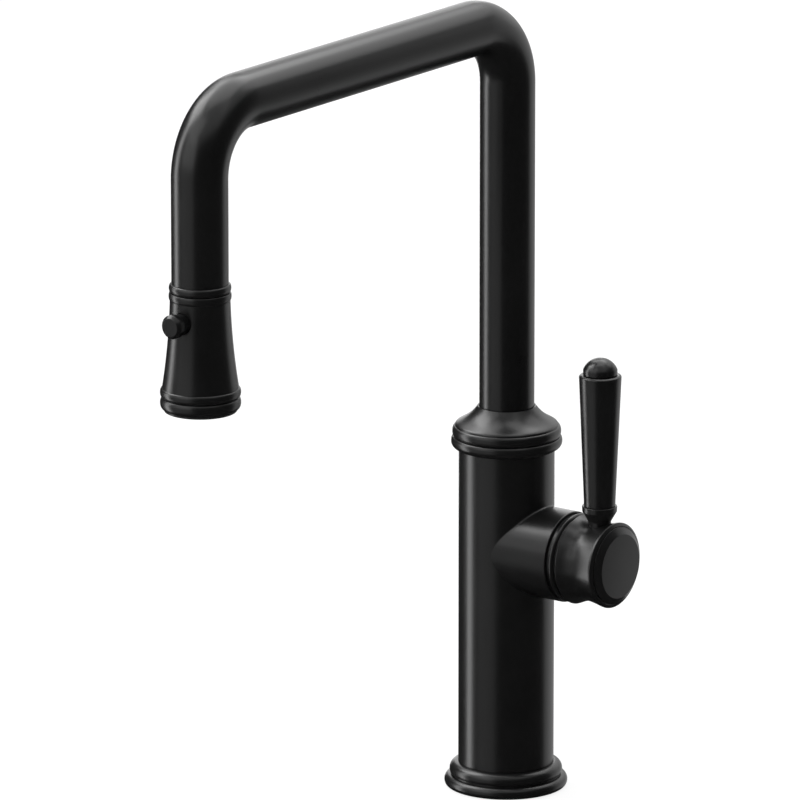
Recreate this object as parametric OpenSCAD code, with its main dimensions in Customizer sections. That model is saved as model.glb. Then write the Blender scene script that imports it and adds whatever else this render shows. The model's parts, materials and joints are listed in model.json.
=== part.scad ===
// Deck-mounted kitchen faucet with a square-bend swivel spout, a pull-down spray
// head with a push button, and a side lever on a ceramic-disc mixing cartridge.
// Millimetres. The origin is the centre of the base on the worktop, +Z is up,
// the spout reaches towards -Y and the lever hub faces +X.

/* [Column and base] */
// Outside diameter of the column
col_d = 44.2; // [42:0.1:48]
// Wall of the column
col_wall = 2; // [1.5:0.1:3]
// Height of the column's top edge above the worktop
col_top = 161.5; // [150:0.5:180]
// Radius of the base flange at its lower bead
flange_r = 28.5; // [27:0.1:34]
// Height of the base flange
flange_h = 11.2; // [10:0.1:14]
// Height of the flange's lower bead
flange_low_h = 5.2; // [4:0.1:6]
// How far the upper bead stands inside the lower one
flange_step = 2.4; // [1.5:0.1:3]

/* [Deck clamp] */
// Thickness of the worktop that the faucet is clamped to
deck_t = 20; // [5:0.5:30]
// Outside diameter of the threaded shank
shank_d = 33.2; // [32:0.1:34]
// Wall of the shank
shank_wall = 1.5; // [1.2:0.1:2]
// Length of the shank below the worktop's top
shank_l = 52; // [50:0.5:70]
// Outside diameter of the clamp washers
washer_d = 54; // [48:0.5:60]
// Thickness of the rubber washer
rubber_t = 2.5; // [1.5:0.1:4]
// Thickness of the steel washer
steel_t = 1.6; // [1:0.1:3]
// Height of the lock nut
nut_h = 9; // [6:0.5:12]
// Space between the lock nut and the steel washer
nut_gap = 3; // [1:0.5:5]
// Diameter of the jack screws
jack_d = 5; // [4:0.5:6]
// Diameter of the supply sockets
tail_d = 8; // [6:0.1:8]

/* [Collar] */
// Height of the collar above the column's top edge
collar_h = 19.75; // [18:0.25:24]
// Radius of the collar's lower bead
collar_bead_r = 25.7; // [24.5:0.1:28]
// Height of the lower bead
collar_bead_h = 5.5; // [4:0.1:6]
// How far the upper bead stands inside the lower one
collar_step = 0.55; // [0.3:0.05:1]
// Height of the upper bead
collar_top_h = 5; // [3.5:0.1:5.5]
// Depth of the collar's skirt inside the column
skirt_h = 13; // [10:0.5:20]

/* [Spout] */
// Outside diameter of the spout tube
tube_d = 25.4; // [24:0.1:28]
// Wall of the spout tube
tube_wall = 1.2; // [0.8:0.1:1.5]
// Reach from the column's axis to the outlet's axis
reach = 230.6; // [180:1:280]
// Height of the spout's horizontal axis
spout_h = 363.8; // [320:1:450]
// Bend radius at the centre of the tube
bend_r = 30; // [26:0.5:45]
// Outside diameter of the spray hose
hose_d = 12; // [10:0.1:13]
// Diameter of the swivel journal
journal_d = 30; // [28:0.1:31]

/* [Spray head] */
// Height of the seam between the spout's ferrule and the spray head
seam_z = 282.8; // [260:0.2:300]
// Length of the spray head's shell
head_l = 53.3; // [48:0.1:60]
// Radius of the beads at the seam
seam_bead_r = 13.9; // [13.6:0.05:15]
// Radius of the head's waist just under the seam bead
head_r = 13.45; // [13.2:0.05:14]
// Radius of the beads at the mouth
mouth_bead_r = 18; // [16.5:0.1:20]
// Radius of the spray face
face_r = 16.3; // [15.5:0.1:17]
// Diameter of the push button
button_d = 10.8; // [9:0.1:11.5]
// Depth of the button's centre below the seam
button_drop = 12; // [11:0.1:15]
// Distance from the head's axis to the button's face
button_face = 22.2; // [20.5:0.1:24]
// Travel of the button
button_travel = 2.5; // [1.5:0.1:2.8]

/* [Valve] */
// Height of the valve's axis above the worktop
valve_z = 115; // [100:0.5:125]
// Outside radius of the valve boss
boss_r = 21.1; // [20.6:0.05:21.6]
// Distance from the column's axis to the boss's lip
boss_x = 36.7; // [36:0.1:37]
// Diameter of the mixing cartridge
cart_d = 34.8; // [34:0.1:35]
// Distance from the column's axis to the lever's pivot
pivot_x = 32; // [31.5:0.1:32.3]
// Radius of the dome ring under the hub
dome_r = 21.85; // [21.6:0.05:22]
// Length of the cartridge arm below the pivot
arm_l = 7.4; // [6:0.1:7.6]

/* [Handle] */
// Distance from the column's axis to the hub's rim
hub_x = 42.2; // [42:0.1:43]
// Radius of the hub's rim
hub_rim_r = 20.9; // [20.6:0.05:21.5]
// Smallest radius of the hub's waist
hub_waist_r = 17.6; // [16.5:0.1:18.4]
// Distance from the column's axis to the cap's seat on the hub
cap_x = 60; // [58.5:0.1:62]
// Radius of the cap
cap_r = 19.85; // [19:0.05:21]
// Radius of the cap's flat face
cap_face_r = 14.9; // [12:0.1:17]
// Thickness of the cap
cap_t = 4.6; // [3.5:0.1:6]
// Distance from the column's axis to the lever's axis
lever_x = 52.6; // [51.5:0.1:53.5]
// Radius of the lever's neck
neck_r = 5.3; // [4.5:0.1:6]
// Radius of the lever's band
band_r = 8.1; // [7.6:0.05:9]
// Radius of the grip at its foot
grip_foot_r = 7.25; // [6.5:0.05:7.5]
// Radius of the grip at its head
grip_head_r = 9.8; // [9:0.1:11]
// Length of the grip
grip_l = 61.9; // [45:0.1:90]
// Radius of the finial
finial_r = 7.9; // [7:0.1:8.5]
// Height of the finial above the grip
finial_h = 7.8; // [6:0.1:10]

/* [Clearances] */
// Radial clearance of seated pieces
fit_gap = 0.1; // [0.02:0.01:0.15]
// Radial clearance of pieces that turn or slide on each other
run_gap = 0.05; // [0.02:0.01:0.1]
// Clearance of pieces that rest on each other
seat_gap = 0.05; // [0.02:0.01:0.1]
// Clearance between curved covers that pass over each other
cover_gap = 0.35; // [0.3:0.01:0.4]

/* [Hidden] */
$fn = 96;
eps = 0.01;

// Column, base and deck clamp
col_r = col_d / 2;
col_bore_r = col_r - col_wall;
flange_floor = 3;
flange_up_r = flange_r - flange_step;
flange_low_edge = 1.8;
flange_up_edge = 2.1;
flange_foot_edge = 1.6;
flange_foot_rise = 0.6;
shank_play = 0.4;
flange_hole_r = shank_d / 2 + shank_play;
gasket_land = 4;
gasket_rim = 3.2;
gasket_in_r = flange_hole_r + gasket_land;
gasket_out_r = flange_r - gasket_rim;
gasket_t = 1.5;
shank_r = shank_d / 2;
shank_bore_r = shank_r - shank_wall;
shank_flange_h = 5;
shank_top = flange_floor + shank_flange_h;
washer_hole_r = shank_r + shank_play;
rubber_z = -deck_t - rubber_t;
steel_z = rubber_z - steel_t;
nut_top = steel_z - nut_gap;
nut_z = nut_top - nut_h;
nut_r = washer_d / 2;
jack_head_r = jack_d * 0.7;
jack_key_r = jack_d * 0.3;
jack_head_h = 3;
jack_head_drop = 1;
jack_shank_room = 0.5;
jack_pcd_r = shank_r + jack_head_r + jack_shank_room;

// Hose and tails
hose_r = hose_d / 2;
hose_bore_r = 4;
hose_room = 0.5;
hose_way_r = hose_r + hose_room;
tail_r = tail_d / 2;
tail_web = 0.4;
tail_pcd_r = hose_way_r + tail_r + tail_web;
tail_angles = [-60, 0, 60];
tail_socket = 6;

// Collar and swivel
collar_z = col_top;
collar_top = collar_z + collar_h;
collar_up_r = collar_bead_r - collar_step;
collar_mid = collar_z + collar_bead_h;
ogee_z = collar_mid + collar_top_h;
collar_edge = 1.4;
collar_up_edge = 1.2;
collar_groove = 0.1;
ogee_ledge = 1.3;
ogee_r = collar_up_r - ogee_ledge;
ogee_rise = 2.2;
ogee_draw = 5.1;
ogee_drop = 7.4;
rim_wall = 0.75;
rim_r = tube_d / 2 + rim_wall;
rim_clear = 0.25;
tube_r = tube_d / 2;
tube_bore_r = tube_r - tube_wall;
journal_r = journal_d / 2;
skirt_r = col_bore_r - fit_gap;
bush_wall = 2.4;
skirt_bore_r = journal_r + run_gap + bush_wall;
journal_rise = 9;
journal_top = collar_z + journal_rise;
journal_bot = collar_z - skirt_h;
shoulder_play = 0.6;
shoulder_r = skirt_bore_r - shoulder_play;
shoulder_h = 2;
shoulder_room = 1;
thrust_gap = 0.1;
bush_r = skirt_bore_r - fit_gap;
clip_t = 1.2;
clip_depth = 1.2;
clip_width = 1.6;
clip_opening = 5;
clip_groove_r = journal_r - clip_depth;
clip_r = journal_r + clip_width;
journal_tail = 2;
journal_end = journal_bot - clip_t - journal_tail;
oring_r = 0.85;
oring_depth = 2 * oring_r;
stem_bore_r = 10;
oring_rises = [5, 12];
oring_zs = [for (rise = oring_rises) journal_bot + rise];

// Spout
bend_z = spout_h - bend_r;
stem_spigot_h = 14;
tube_foot = journal_top + shoulder_h;
ferrule_lip = 0.6;
tube_end = seam_z + ferrule_lip;
ferrule_h = 3.8;
ferrule_edge = 0.75;
ferrule_r = seam_bead_r - seat_gap;
socket_r = tube_bore_r - seat_gap;
socket_way_r = hose_way_r + 0.3;
plug_r = 9.3;
socket_bore_r = plug_r + fit_gap;
plug_h = 13;
plug_top = seam_z + plug_h;
keeper_h = 1.2;
keeper_play = 0.3;
magnet_h = 2;
magnet_z = plug_top + keeper_h + keeper_play;
socket_lid = 1.6;
socket_top = magnet_z + magnet_h + socket_lid;

// Spray head
seam_gap = 0.1;
head_top = seam_z - seam_gap;
seam_bead_h = 3.5;
seam_edge = 0.5;
head_bot = head_top - head_l;
mouth_low_h = 5.7;
mouth_low_top = head_bot + mouth_low_h;
mouth_up_h = 4.1;
mouth_edge = 0.9;
mouth_low_edge = 1.2;
mouth_foot = 0.4;
mouth_neck_r = mouth_bead_r - mouth_edge;
flare_draw = 2.1;
waist_draw = 0.35;
face_step = 1.3;
face_seat_r = face_r - face_step;
face_t = 4.6;
face_dish = 0.5;
face_edge = 0.6;
face_rim_h = 1;
face_rim_w = 0.6;
face_z = head_bot - face_rim_h;
pad_t = 2;
pad_z = face_z + face_t + seat_gap;
seal_t = 1;
seal_w = 2.2;
seal_r = face_seat_r - 0.2;
seal_z = pad_z + pad_t + seat_gap;
way_z = seal_z + seal_t + seat_gap;
way_r = 8;
way_wall = 2.5;
way_flange_h = 3;
plug_flange_h = 2.2;
plug_flange_drop = 3.3;
plug_flange_top = head_top - plug_flange_drop;
plug_flange_z = plug_flange_top - plug_flange_h;
way_top = plug_flange_z - seam_gap;
way_bore_r = way_r - way_wall;
plug_wall = 2.1;
nut_bore_r = plug_r - plug_wall;
head_bore_r = 10.8;
plug_flange_r = head_bore_r - 2 * fit_gap;
bore_taper_top = 26;
bore_taper_foot = 4;
button_r = button_d / 2;
button_z = seam_z - button_drop;
button_gap = 0.25;
button_bevel = 1.25;
button_flat_r = button_r - button_bevel;
button_chamfer = 1.5;
button_room = 0.7;
button_back = head_bore_r + button_room;
button_pocket_r = 3.9;
button_pocket_l = 3.9;
button_pocket = button_back + button_pocket_l;
button_seat_l = 2;
button_seat = button_pocket + button_seat_l;
stem_push_r = 1.8;
stem_sleeve = 0.9;
poppet_r = 2.6;
poppet_t = 1;
poppet_d = 4.4;
spring_r = 3.2;
spring_wire = 0.5;
spring_turns = 3;
spring_sides = 6;
spring_steps = 16;
spring_foot = way_r + 0.1;
spring_room = 0.35;
spring_l = button_pocket - button_travel - spring_room - spring_foot;
nozzle_rings = [[9.9, 12], [12.7, 16]];
nozzle_r = 0.85;
nozzle_out = 0.9;
aerator_r = 7.4;
aerator_play = 0.1;
aerator_wall = 0.9;
aerator_in = 0.6;
grid_in = 1.2;
grid_h = 1.8;
grid_rib = 0.5;
grid_pitch = 2;

// Valve
cart_r = cart_d / 2;
boss_bore_r = cart_r + fit_gap;
manifold_drop = 27;
manifold_z = valve_z - manifold_drop;
manifold_head_room = 0.5;
manifold_head_z = valve_z - boss_bore_r - manifold_head_room;
plate_x = 12;
plate_back = hose_way_r + 0.7;
port_r = 2.6;
port_pcd_r = 8;
port_angles = [60, 180, 300];
port_depth = 2.5;
port_seal_r = 4;
port_seal_t = 1.35;
cart_x = plate_x + fit_gap;
base_t = 3.5;
disc_x = cart_x + base_t;
disc_t = 3;
mover_x = disc_x + disc_t + run_gap;
carrier_x = mover_x + disc_t;
arm_x = pivot_x - arm_l;
ball_r = 2.2;
ball_play = 0.2;
carrier_lip = 1.5;
carrier_floor = 0.3;
carrier_end = arm_x + carrier_lip;
cart_front = 33.5;
cart_front_t = 3;
cart_wall = 1.6;
cart_cavity_r = cart_r - cart_wall;
lift_deg = 25;
slide_l = arm_l * lift_deg * PI / 180;
mover_play = 0.3;
mover_r = cart_cavity_r - slide_l - mover_play;
rotor_r = 9.9;
rotor_flange_r = 13.5;
rotor_x = carrier_end + mover_play;
rotor_end = 36.5;
pin_r = 1.5;
stem_r = 3.6;
arm_r = 1.6;
arm_neck = 4;
arm_shoulder = pivot_x - arm_neck;
slot_half_y = stem_r + 0.2;
slot_low = 6.8;
slot_top = 5.4;
nut_thread_r = 19;
nut_hole_r = 12.5;
notch_w = 3;
notch_h = 1.5;
notch_depth = 2;
dome_x = 37.3;
dome_t = 1.35;
dome_foot_t = 1.2;
dome_open_deg = 38.5;
hub_bore_r = dome_r + cover_gap;

// Handle
cap_spigot_r = 12;
cap_spigot = 1.5;
cap_edge_x = cap_x + 0.9;
cap_edge_w = 0.3;
cap_lip = 0.5;
cap_chamfer = 1.4;
cap_line_r = cap_r - 1.85;
stem_end_room = 0.3;
stem_end = cap_x - cap_spigot - stem_end_room;
waist_back = 5;
waist_x = cap_x - waist_back;
waist_flare = 2;
lip_slope = 0.9;
rim_edge = 0.4;
rim_land = 1;
rim_draw = 0.35;
rim_slope = 1.9;
neck_h = 2.2;
cone_h = 4.8;
band_h = 2.5;
band_edge = 0.3;
cone_z = valve_z + hub_waist_r + neck_h;
band_z = cone_z + cone_h;
grip_z = band_z + band_h;
grip_top = grip_z + grip_l;
finial_side = 2.4;
finial_edge = 0.3;
grip_straight = 3;
grip_edge = 0.9;
rod_r = 3;
rod_foot = 9.6;
rod_z = valve_z + rod_foot;
rod_head = 3;
rod_top = grip_top + rod_head;
screw_r = 2.1;
screw_back = 3.7;
screw_x = cap_x - screw_back;

black = "#232323";
steel = "silver";
brass = "#b5995a";
rubber = "#1b1b1b";
white_plastic = "#e6e6e0";
grey_plastic = "#7d7f82";
ceramic = "#f2efe6";

// Points of an arc, from angle a0 to angle a1, in n steps.
function arc(c, r, a0, a1, n = 8) =
    [for (i = [0:n]) let (a = a0 + (a1 - a0) * i / n) [c[0] + r * cos(a), c[1] + r * sin(a)]];

// Points of a cubic curve from a to d with handles b and c, in n steps.
function curve(a, b, c, d, n = 14) =
    [for (i = [0:n]) let (t = i / n, s = 1 - t)
        s * s * s * a + 3 * s * s * t * b + 3 * s * t * t * c + t * t * t * d];

// Points of a bead's outer side, from its foot up: crest radius r, from z0 to z1,
// its edges drawn in by depth d.
function bead(r, z0, z1, d, n = 10) =
    let (h = (z1 - z0) / 2)
    [for (i = [0:n]) let (a = -90 + 180 * i / n) [r - d + d * cos(a), z0 + h + h * sin(a)]];

// A solid of revolution about Z from points [radius, height].
module lathe(points) {
    rotate_extrude() polygon(points);
}

// A ring about Z between two radii.
module ring(r_out, r_in, z0, z1) {
    translate([0, 0, z0]) difference() {
        cylinder(r = r_out, h = z1 - z0);
        translate([0, 0, -eps]) cylinder(r = r_in, h = z1 - z0 + 2 * eps);
    }
}

// A cylinder about Z from z0 to z1.
module rod(r, z0, z1) {
    translate([0, 0, z0]) cylinder(r = r, h = z1 - z0);
}

// Puts children drawn about Z on the valve's axis: their height becomes +X.
module on_valve_axis() {
    translate([0, 0, valve_z]) rotate([0, 90, 0]) children();
}

// Puts children drawn about Z on the outlet's axis.
module on_outlet_axis() {
    translate([0, -reach, 0]) children();
}

// Puts children drawn about Z on the lever's axis.
module on_lever_axis() {
    translate([lever_x, 0, 0]) children();
}

// Puts children drawn about Z on the button's axis: their height becomes the
// distance from the head's axis towards -Y.
module on_button_axis() {
    translate([0, -reach, button_z]) rotate([90, 0, 0]) children();
}

// Base flange: two beads on a floor that the column stands on.
module base_flange() {
    foot_r = flange_r - flange_foot_edge;
    low_edge_r = flange_r - flange_low_edge;
    low_edge_z = flange_low_h - flange_low_edge;
    up_edge_r = flange_up_r - flange_up_edge;
    up_edge_z = flange_h - flange_up_edge;
    color(black) difference() {
        lathe(concat(
            [[flange_hole_r, 0], [foot_r, 0]],
            curve([foot_r, 0], [flange_r - flange_foot_rise, flange_foot_rise],
                  [flange_r, flange_foot_edge], [flange_r, flange_low_h * 0.6], 6),
            arc([low_edge_r, low_edge_z], flange_low_edge, 0, 90, 5),
            [[flange_up_r - flange_foot_rise, flange_low_h],
             [flange_up_r, flange_low_h + flange_foot_edge]],
            arc([up_edge_r, up_edge_z], flange_up_edge, 0, 90, 7),
            [[col_r + fit_gap, flange_h - flange_foot_rise], [col_r + fit_gap, flange_floor],
             [flange_hole_r, flange_floor]]
        ));
        ring(gasket_out_r, gasket_in_r, -eps, gasket_t);
    }
}

// Gasket in the groove under the base flange.
module base_gasket() {
    color(rubber) ring(gasket_out_r - fit_gap, gasket_in_r + fit_gap, 0, gasket_t);
}

// Column tube with a round hole in its side for the cartridge.
module column() {
    color(black) difference() {
        rod(col_r, flange_floor, col_top);
        rod(col_bore_r, flange_floor - eps, col_top + eps);
        on_valve_axis() rod(boss_bore_r, 0, col_d);
    }
}

// Boss on the column's side that holds the cartridge, threaded at its mouth.
module valve_boss() {
    color(black) difference() {
        on_valve_axis() difference() {
            rod(boss_r, 0, boss_x);
            rod(boss_bore_r, -eps, boss_x + eps);
            rod(nut_thread_r, cart_front, boss_x + eps);
        }
        rod(col_r + seat_gap, 0, col_top);
    }
}

// Threaded shank that goes through the worktop.
module shank() {
    color(brass) difference() {
        union() {
            rod(shank_r, -shank_l, shank_top);
            rod(col_bore_r - fit_gap, flange_floor, shank_top);
        }
        rod(shank_bore_r, -shank_l - eps, shank_top + eps);
    }
}

module washer_rubber() {
    color(rubber) ring(washer_d / 2, washer_hole_r, rubber_z, rubber_z + rubber_t);
}

module washer_steel() {
    color(steel) ring(washer_d / 2, washer_hole_r, steel_z, steel_z + steel_t);
}

// The two places of the jack screws, on the nut's long diagonal.
module at_jack_screws() {
    for (side = [-1, 1]) translate([side * jack_pcd_r, 0, 0]) children();
}

// Lock nut with two tapped holes for the jack screws.
module lock_nut() {
    color(brass) difference() {
        translate([0, 0, nut_z]) cylinder(r = nut_r, h = nut_h, $fn = 6);
        rod(shank_r + run_gap, nut_z - eps, nut_top + eps);
        at_jack_screws() rod(jack_d / 2 + run_gap, nut_z - eps, nut_top + eps);
    }
}

// Jack screws that press the steel washer against the worktop.
module jack_screws() {
    head_z = nut_z - jack_head_drop - jack_head_h;
    color(steel) at_jack_screws() difference() {
        union() {
            rod(jack_d / 2, head_z, steel_z);
            rod(jack_head_r, head_z, head_z + jack_head_h);
        }
        translate([0, 0, head_z - eps])
            cylinder(r = jack_key_r, h = jack_head_h * 0.6, $fn = 6);
    }
}

// Collar: skirt in the column, two beads, then an ogee up to the spout.
module collar() {
    neck_clear = tube_r + rim_clear;
    cavity_top = journal_top + shoulder_h + shoulder_room;
    color(black) lathe(concat(
        [[skirt_bore_r, collar_z - skirt_h], [skirt_r, collar_z - skirt_h],
         [skirt_r, collar_z], [collar_bead_r - collar_edge, collar_z]],
        bead(collar_bead_r, collar_z, collar_mid, collar_edge),
        bead(collar_up_r, collar_mid + collar_groove, ogee_z - collar_groove, collar_up_edge),
        curve([ogee_r, ogee_z], [ogee_r, ogee_z + ogee_rise],
              [rim_r + ogee_draw, collar_top - ogee_drop], [rim_r, collar_top]),
        [[neck_clear, collar_top], [neck_clear, cavity_top], [skirt_bore_r, cavity_top]]
    ));
}

// Low-friction bush that the spout's journal turns in.
module swivel_bush() {
    color(white_plastic)
        ring(bush_r, journal_r + run_gap, journal_bot, journal_top - thrust_gap);
}

// Brass block inside the column: sockets for the tails and a plate that the
// cartridge seals against.
module manifold() {
    top = valve_z + cart_r;
    color(brass) difference() {
        intersection() {
            rod(col_bore_r - fit_gap, manifold_z, top);
            union() {
                translate([0, -col_r, manifold_z])
                    cube([col_r, col_d, manifold_head_z - manifold_z]);
                translate([plate_back, -col_r, manifold_z])
                    cube([plate_x - plate_back, col_d, top - manifold_z]);
            }
        }
        rod(hose_way_r, manifold_z - eps, manifold_head_z + eps);
        for (a = tail_angles) rotate([0, 0, a]) translate([tail_pcd_r, 0, 0])
            rod(tail_r + run_gap, manifold_z - eps, manifold_z + tail_socket);
        at_ports() rod(port_r, plate_x - port_depth, plate_x + eps);
    }
}

// The cartridge's three ports, drawn along the valve's axis.
module at_ports() {
    on_valve_axis() for (a = port_angles)
        rotate([0, 0, a]) translate([port_pcd_r, 0, 0]) children();
}

// Foot of the cartridge with its ports and the seats of the port seals.
module cartridge_base() {
    color(grey_plastic) difference() {
        on_valve_axis() rod(cart_cavity_r - fit_gap, cart_x, disc_x);
        at_ports() rod(port_r, cart_x - eps, disc_x + eps);
        at_ports() rod(port_seal_r + fit_gap, cart_x - eps, cart_x + port_seal_t + seat_gap);
    }
}

module port_seals() {
    color(rubber) at_ports()
        ring(port_seal_r, port_r + fit_gap, cart_x, cart_x + port_seal_t);
}

module fixed_disc() {
    color(ceramic) difference() {
        on_valve_axis() rod(cart_cavity_r - fit_gap, disc_x, disc_x + disc_t);
        at_ports() rod(port_r, disc_x - eps, disc_x + disc_t + eps);
    }
}

// Cup that holds the discs and carries the rotor in its front.
module cartridge_housing() {
    color(white_plastic) on_valve_axis() difference() {
        rod(cart_r, cart_x, cart_front);
        rod(cart_cavity_r, cart_x - eps, cart_front - cart_front_t);
        rod(rotor_r + run_gap, cart_front - cart_front_t - eps, cart_front + eps);
    }
}

// Threaded ring that holds the cartridge in the boss, with spanner notches.
module cartridge_nut() {
    color(brass) on_valve_axis() difference() {
        ring(nut_thread_r - fit_gap, nut_hole_r, cart_front, dome_x - run_gap);
        for (a = [0:60:300]) rotate([0, 0, a])
            translate([nut_hole_r - eps, -notch_w / 2, dome_x - notch_h])
                cube([notch_depth, notch_w, notch_h]);
    }
}

// Ring with a spherical face that the hub tilts over.
module dome_ring() {
    color(black) on_valve_axis() difference() {
        intersection() {
            translate([0, 0, pivot_x]) sphere(r = dome_r);
            rod(dome_r, dome_x, pivot_x + dome_r * cos(dome_open_deg));
        }
        intersection() {
            translate([0, 0, pivot_x]) sphere(r = dome_r - dome_t);
            rod(dome_r, dome_x + dome_foot_t, pivot_x + dome_r);
        }
        rod(nut_hole_r + 0.5, dome_x - eps, pivot_x + dome_r);
    }
}

// Tube along the spout's axis from its foot to its end, r in radius.
module spout_path(r, z_foot, z_end) {
    rod(r, z_foot, bend_z);
    translate([0, -bend_r, bend_z]) rotate([90, 0, 90])
        rotate_extrude(angle = 90) translate([bend_r, 0]) circle(r = r);
    translate([0, -bend_r, spout_h]) rotate([90, 0, 0])
        cylinder(r = r, h = reach - 2 * bend_r);
    translate([0, bend_r - reach, bend_z]) rotate([90, -90, 90])
        rotate_extrude(angle = 90) translate([bend_r, 0]) circle(r = r);
    on_outlet_axis() rod(r, z_end, bend_z);
}

// Square-bend spout tube.
module spout_tube() {
    color(black) difference() {
        spout_path(tube_r, tube_foot, tube_end);
        spout_path(tube_bore_r, tube_foot - eps, tube_end - eps);
    }
}

// Journal that carries the spout in the collar.
module spout_stem() {
    color(brass) difference() {
        union() {
            rod(journal_r, journal_end, journal_top);
            rod(shoulder_r, journal_top, tube_foot);
            rod(tube_bore_r - seat_gap, tube_foot - eps, tube_foot + stem_spigot_h);
        }
        rod(stem_bore_r, journal_end - eps, tube_foot + stem_spigot_h + eps);
        for (z = oring_zs)
            ring(journal_r + 1, journal_r - oring_depth,
                 z - oring_r - fit_gap, z + oring_r + fit_gap);
        ring(journal_r + 1, clip_groove_r,
             journal_bot - clip_t - fit_gap - seat_gap, journal_bot - seat_gap);
    }
}

module stem_o_rings() {
    color(rubber) for (z = oring_zs) translate([0, 0, z]) rotate_extrude()
        translate([journal_r + 0.02 - oring_r, 0]) circle(r = oring_r);
}

// Open spring clip that keeps the journal in its bush.
module stem_clip() {
    color(steel) difference() {
        ring(clip_r, clip_groove_r + seat_gap, journal_bot - clip_t - fit_gap, journal_bot - fit_gap);
        translate([0, -clip_opening / 2, journal_bot - 2 * clip_t])
            cube([clip_r + 1, clip_opening, 3 * clip_t]);
    }
}

// Beaded ferrule on the spout's end.
module outlet_ferrule() {
    color(black) on_outlet_axis() lathe(concat(
        [[tube_bore_r, seam_z]],
        bead(ferrule_r, seam_z, seam_z + ferrule_h, ferrule_edge),
        [[tube_r + 0.03, seam_z + ferrule_h], [tube_r + 0.03, tube_end],
         [tube_bore_r, tube_end]]
    ));
}

// Liner in the spout's end that the spray head docks in.
module docking_socket() {
    color(white_plastic) on_outlet_axis() difference() {
        rod(socket_r, seam_z + seam_gap, socket_top);
        rod(socket_bore_r, seam_z, magnet_z + magnet_h);
        rod(socket_way_r, seam_z, socket_top + eps);
    }
}

module dock_magnet() {
    color(steel) on_outlet_axis()
        ring(socket_bore_r - run_gap, socket_way_r, magnet_z, magnet_z + magnet_h);
}

// Spray head's shell: bead, flare and two mouth beads, open inside.
module head_shell() {
    flare_start = head_top - seam_bead_h;
    flare_end = mouth_low_top + mouth_up_h;
    flare_l = flare_start - flare_end;
    color(black) difference() {
        on_outlet_axis() lathe(concat(
            [[face_seat_r, head_bot], [mouth_bead_r - mouth_low_edge, head_bot]],
            bead(mouth_bead_r, head_bot + mouth_foot, mouth_low_top, mouth_low_edge),
            bead(mouth_bead_r, mouth_low_top, flare_end, mouth_edge),
            curve([mouth_neck_r, flare_end],
                  [mouth_neck_r - flare_draw, flare_end + flare_l / 3],
                  [head_r + waist_draw, flare_start - flare_l / 3], [head_r, flare_start]),
            bead(seam_bead_r, flare_start, head_top, seam_edge),
            [[plug_r + fit_gap, head_top], [plug_r + fit_gap, plug_flange_top],
             [head_bore_r, plug_flange_top], [head_bore_r, flare_end + bore_taper_top],
             [face_seat_r, flare_end + bore_taper_foot]]
        ));
        on_button_axis() rod(button_r + button_gap, 0, button_face);
    }
}

// Plug that the hose hangs the head by, with its collar inside the shell.
module dock_plug() {
    color(grey_plastic) on_outlet_axis() difference() {
        union() {
            rod(plug_r, plug_flange_z, plug_top);
            rod(plug_flange_r, plug_flange_z, plug_flange_top);
        }
        rod(nut_bore_r, plug_flange_z - eps, plug_top + eps);
    }
}

// Steel ring that the magnet holds.
module keeper_ring() {
    color(steel) on_outlet_axis() ring(plug_r, nut_bore_r, plug_top, plug_top + keeper_h);
}

// Nut on the hose's end, screwed on the waterway.
module hose_nut() {
    color(brass) on_outlet_axis()
        ring(nut_bore_r - fit_gap, hose_bore_r, way_top, plug_top + keeper_h);
}

// Waterway from the hose nut to the spray plate, with the button's cross bore.
module waterway() {
    color(white_plastic) difference() {
        on_outlet_axis() difference() {
            union() {
                rod(way_r, way_z, way_top);
                rod(seal_r, way_z, way_z + way_flange_h);
            }
            rod(way_bore_r, way_z - eps, way_top - way_wall);
            rod(hose_bore_r, way_z, way_top + eps);
        }
        on_button_axis() rod(stem_push_r + run_gap, 0, way_r + 1);
    }
}

module head_seal() {
    color(rubber) on_outlet_axis() ring(seal_r, seal_r - seal_w, seal_z, seal_z + seal_t);
}

// The places of the spray nozzles, in rings about the outlet's axis.
module at_nozzles() {
    on_outlet_axis() for (row = nozzle_rings, i = [1:row[1]])
        rotate([0, 0, 360 * i / row[1]]) translate([row[0], 0, 0]) children();
}

// Rubber pad with a nub in every hole of the spray face.
module nozzle_pad() {
    color(rubber) {
        on_outlet_axis() ring(seal_r, aerator_r + aerator_in, pad_z, pad_z + pad_t);
        at_nozzles() ring(nozzle_r, nozzle_r / 2, face_z - nozzle_out, pad_z + eps);
    }
}

// Spray face: a plate in the shell's mouth with a rim below it.
module spray_face() {
    rim_top = head_bot - seat_gap;
    dish_z = face_z + face_dish;
    hole_r = aerator_r + aerator_play;
    skirt = face_seat_r - fit_gap;
    color(grey_plastic) difference() {
        on_outlet_axis() lathe(concat(
            [[hole_r, dish_z], [skirt - 2 * face_rim_w, dish_z], [skirt - face_rim_w, face_z]],
            arc([face_r - face_edge, face_z + face_edge], face_edge, -90, 0, 5),
            [[face_r, rim_top], [skirt, rim_top]],
            [[skirt, face_z + face_t], [hole_r, face_z + face_t]]
        ));
        at_nozzles() rod(nozzle_r + run_gap, face_z, face_z + face_t + eps);
    }
}

// Aerator cartridge: a cup with a grid of ribs.
module aerator() {
    grid_z = face_z + grid_in;
    span = 2 * aerator_r;
    color(white_plastic) on_outlet_axis() {
        ring(aerator_r, aerator_r - aerator_wall, face_z + aerator_in, face_z + face_t);
        intersection() {
            rod(aerator_r - aerator_wall + eps, grid_z, grid_z + grid_h);
            for (k = [-3:3], turn = [0, 90])
                rotate([0, 0, turn])
                    translate([k * grid_pitch - grid_rib / 2, -aerator_r, grid_z])
                        cube([grid_rib, span, grid_h]);
        }
    }
}

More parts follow.
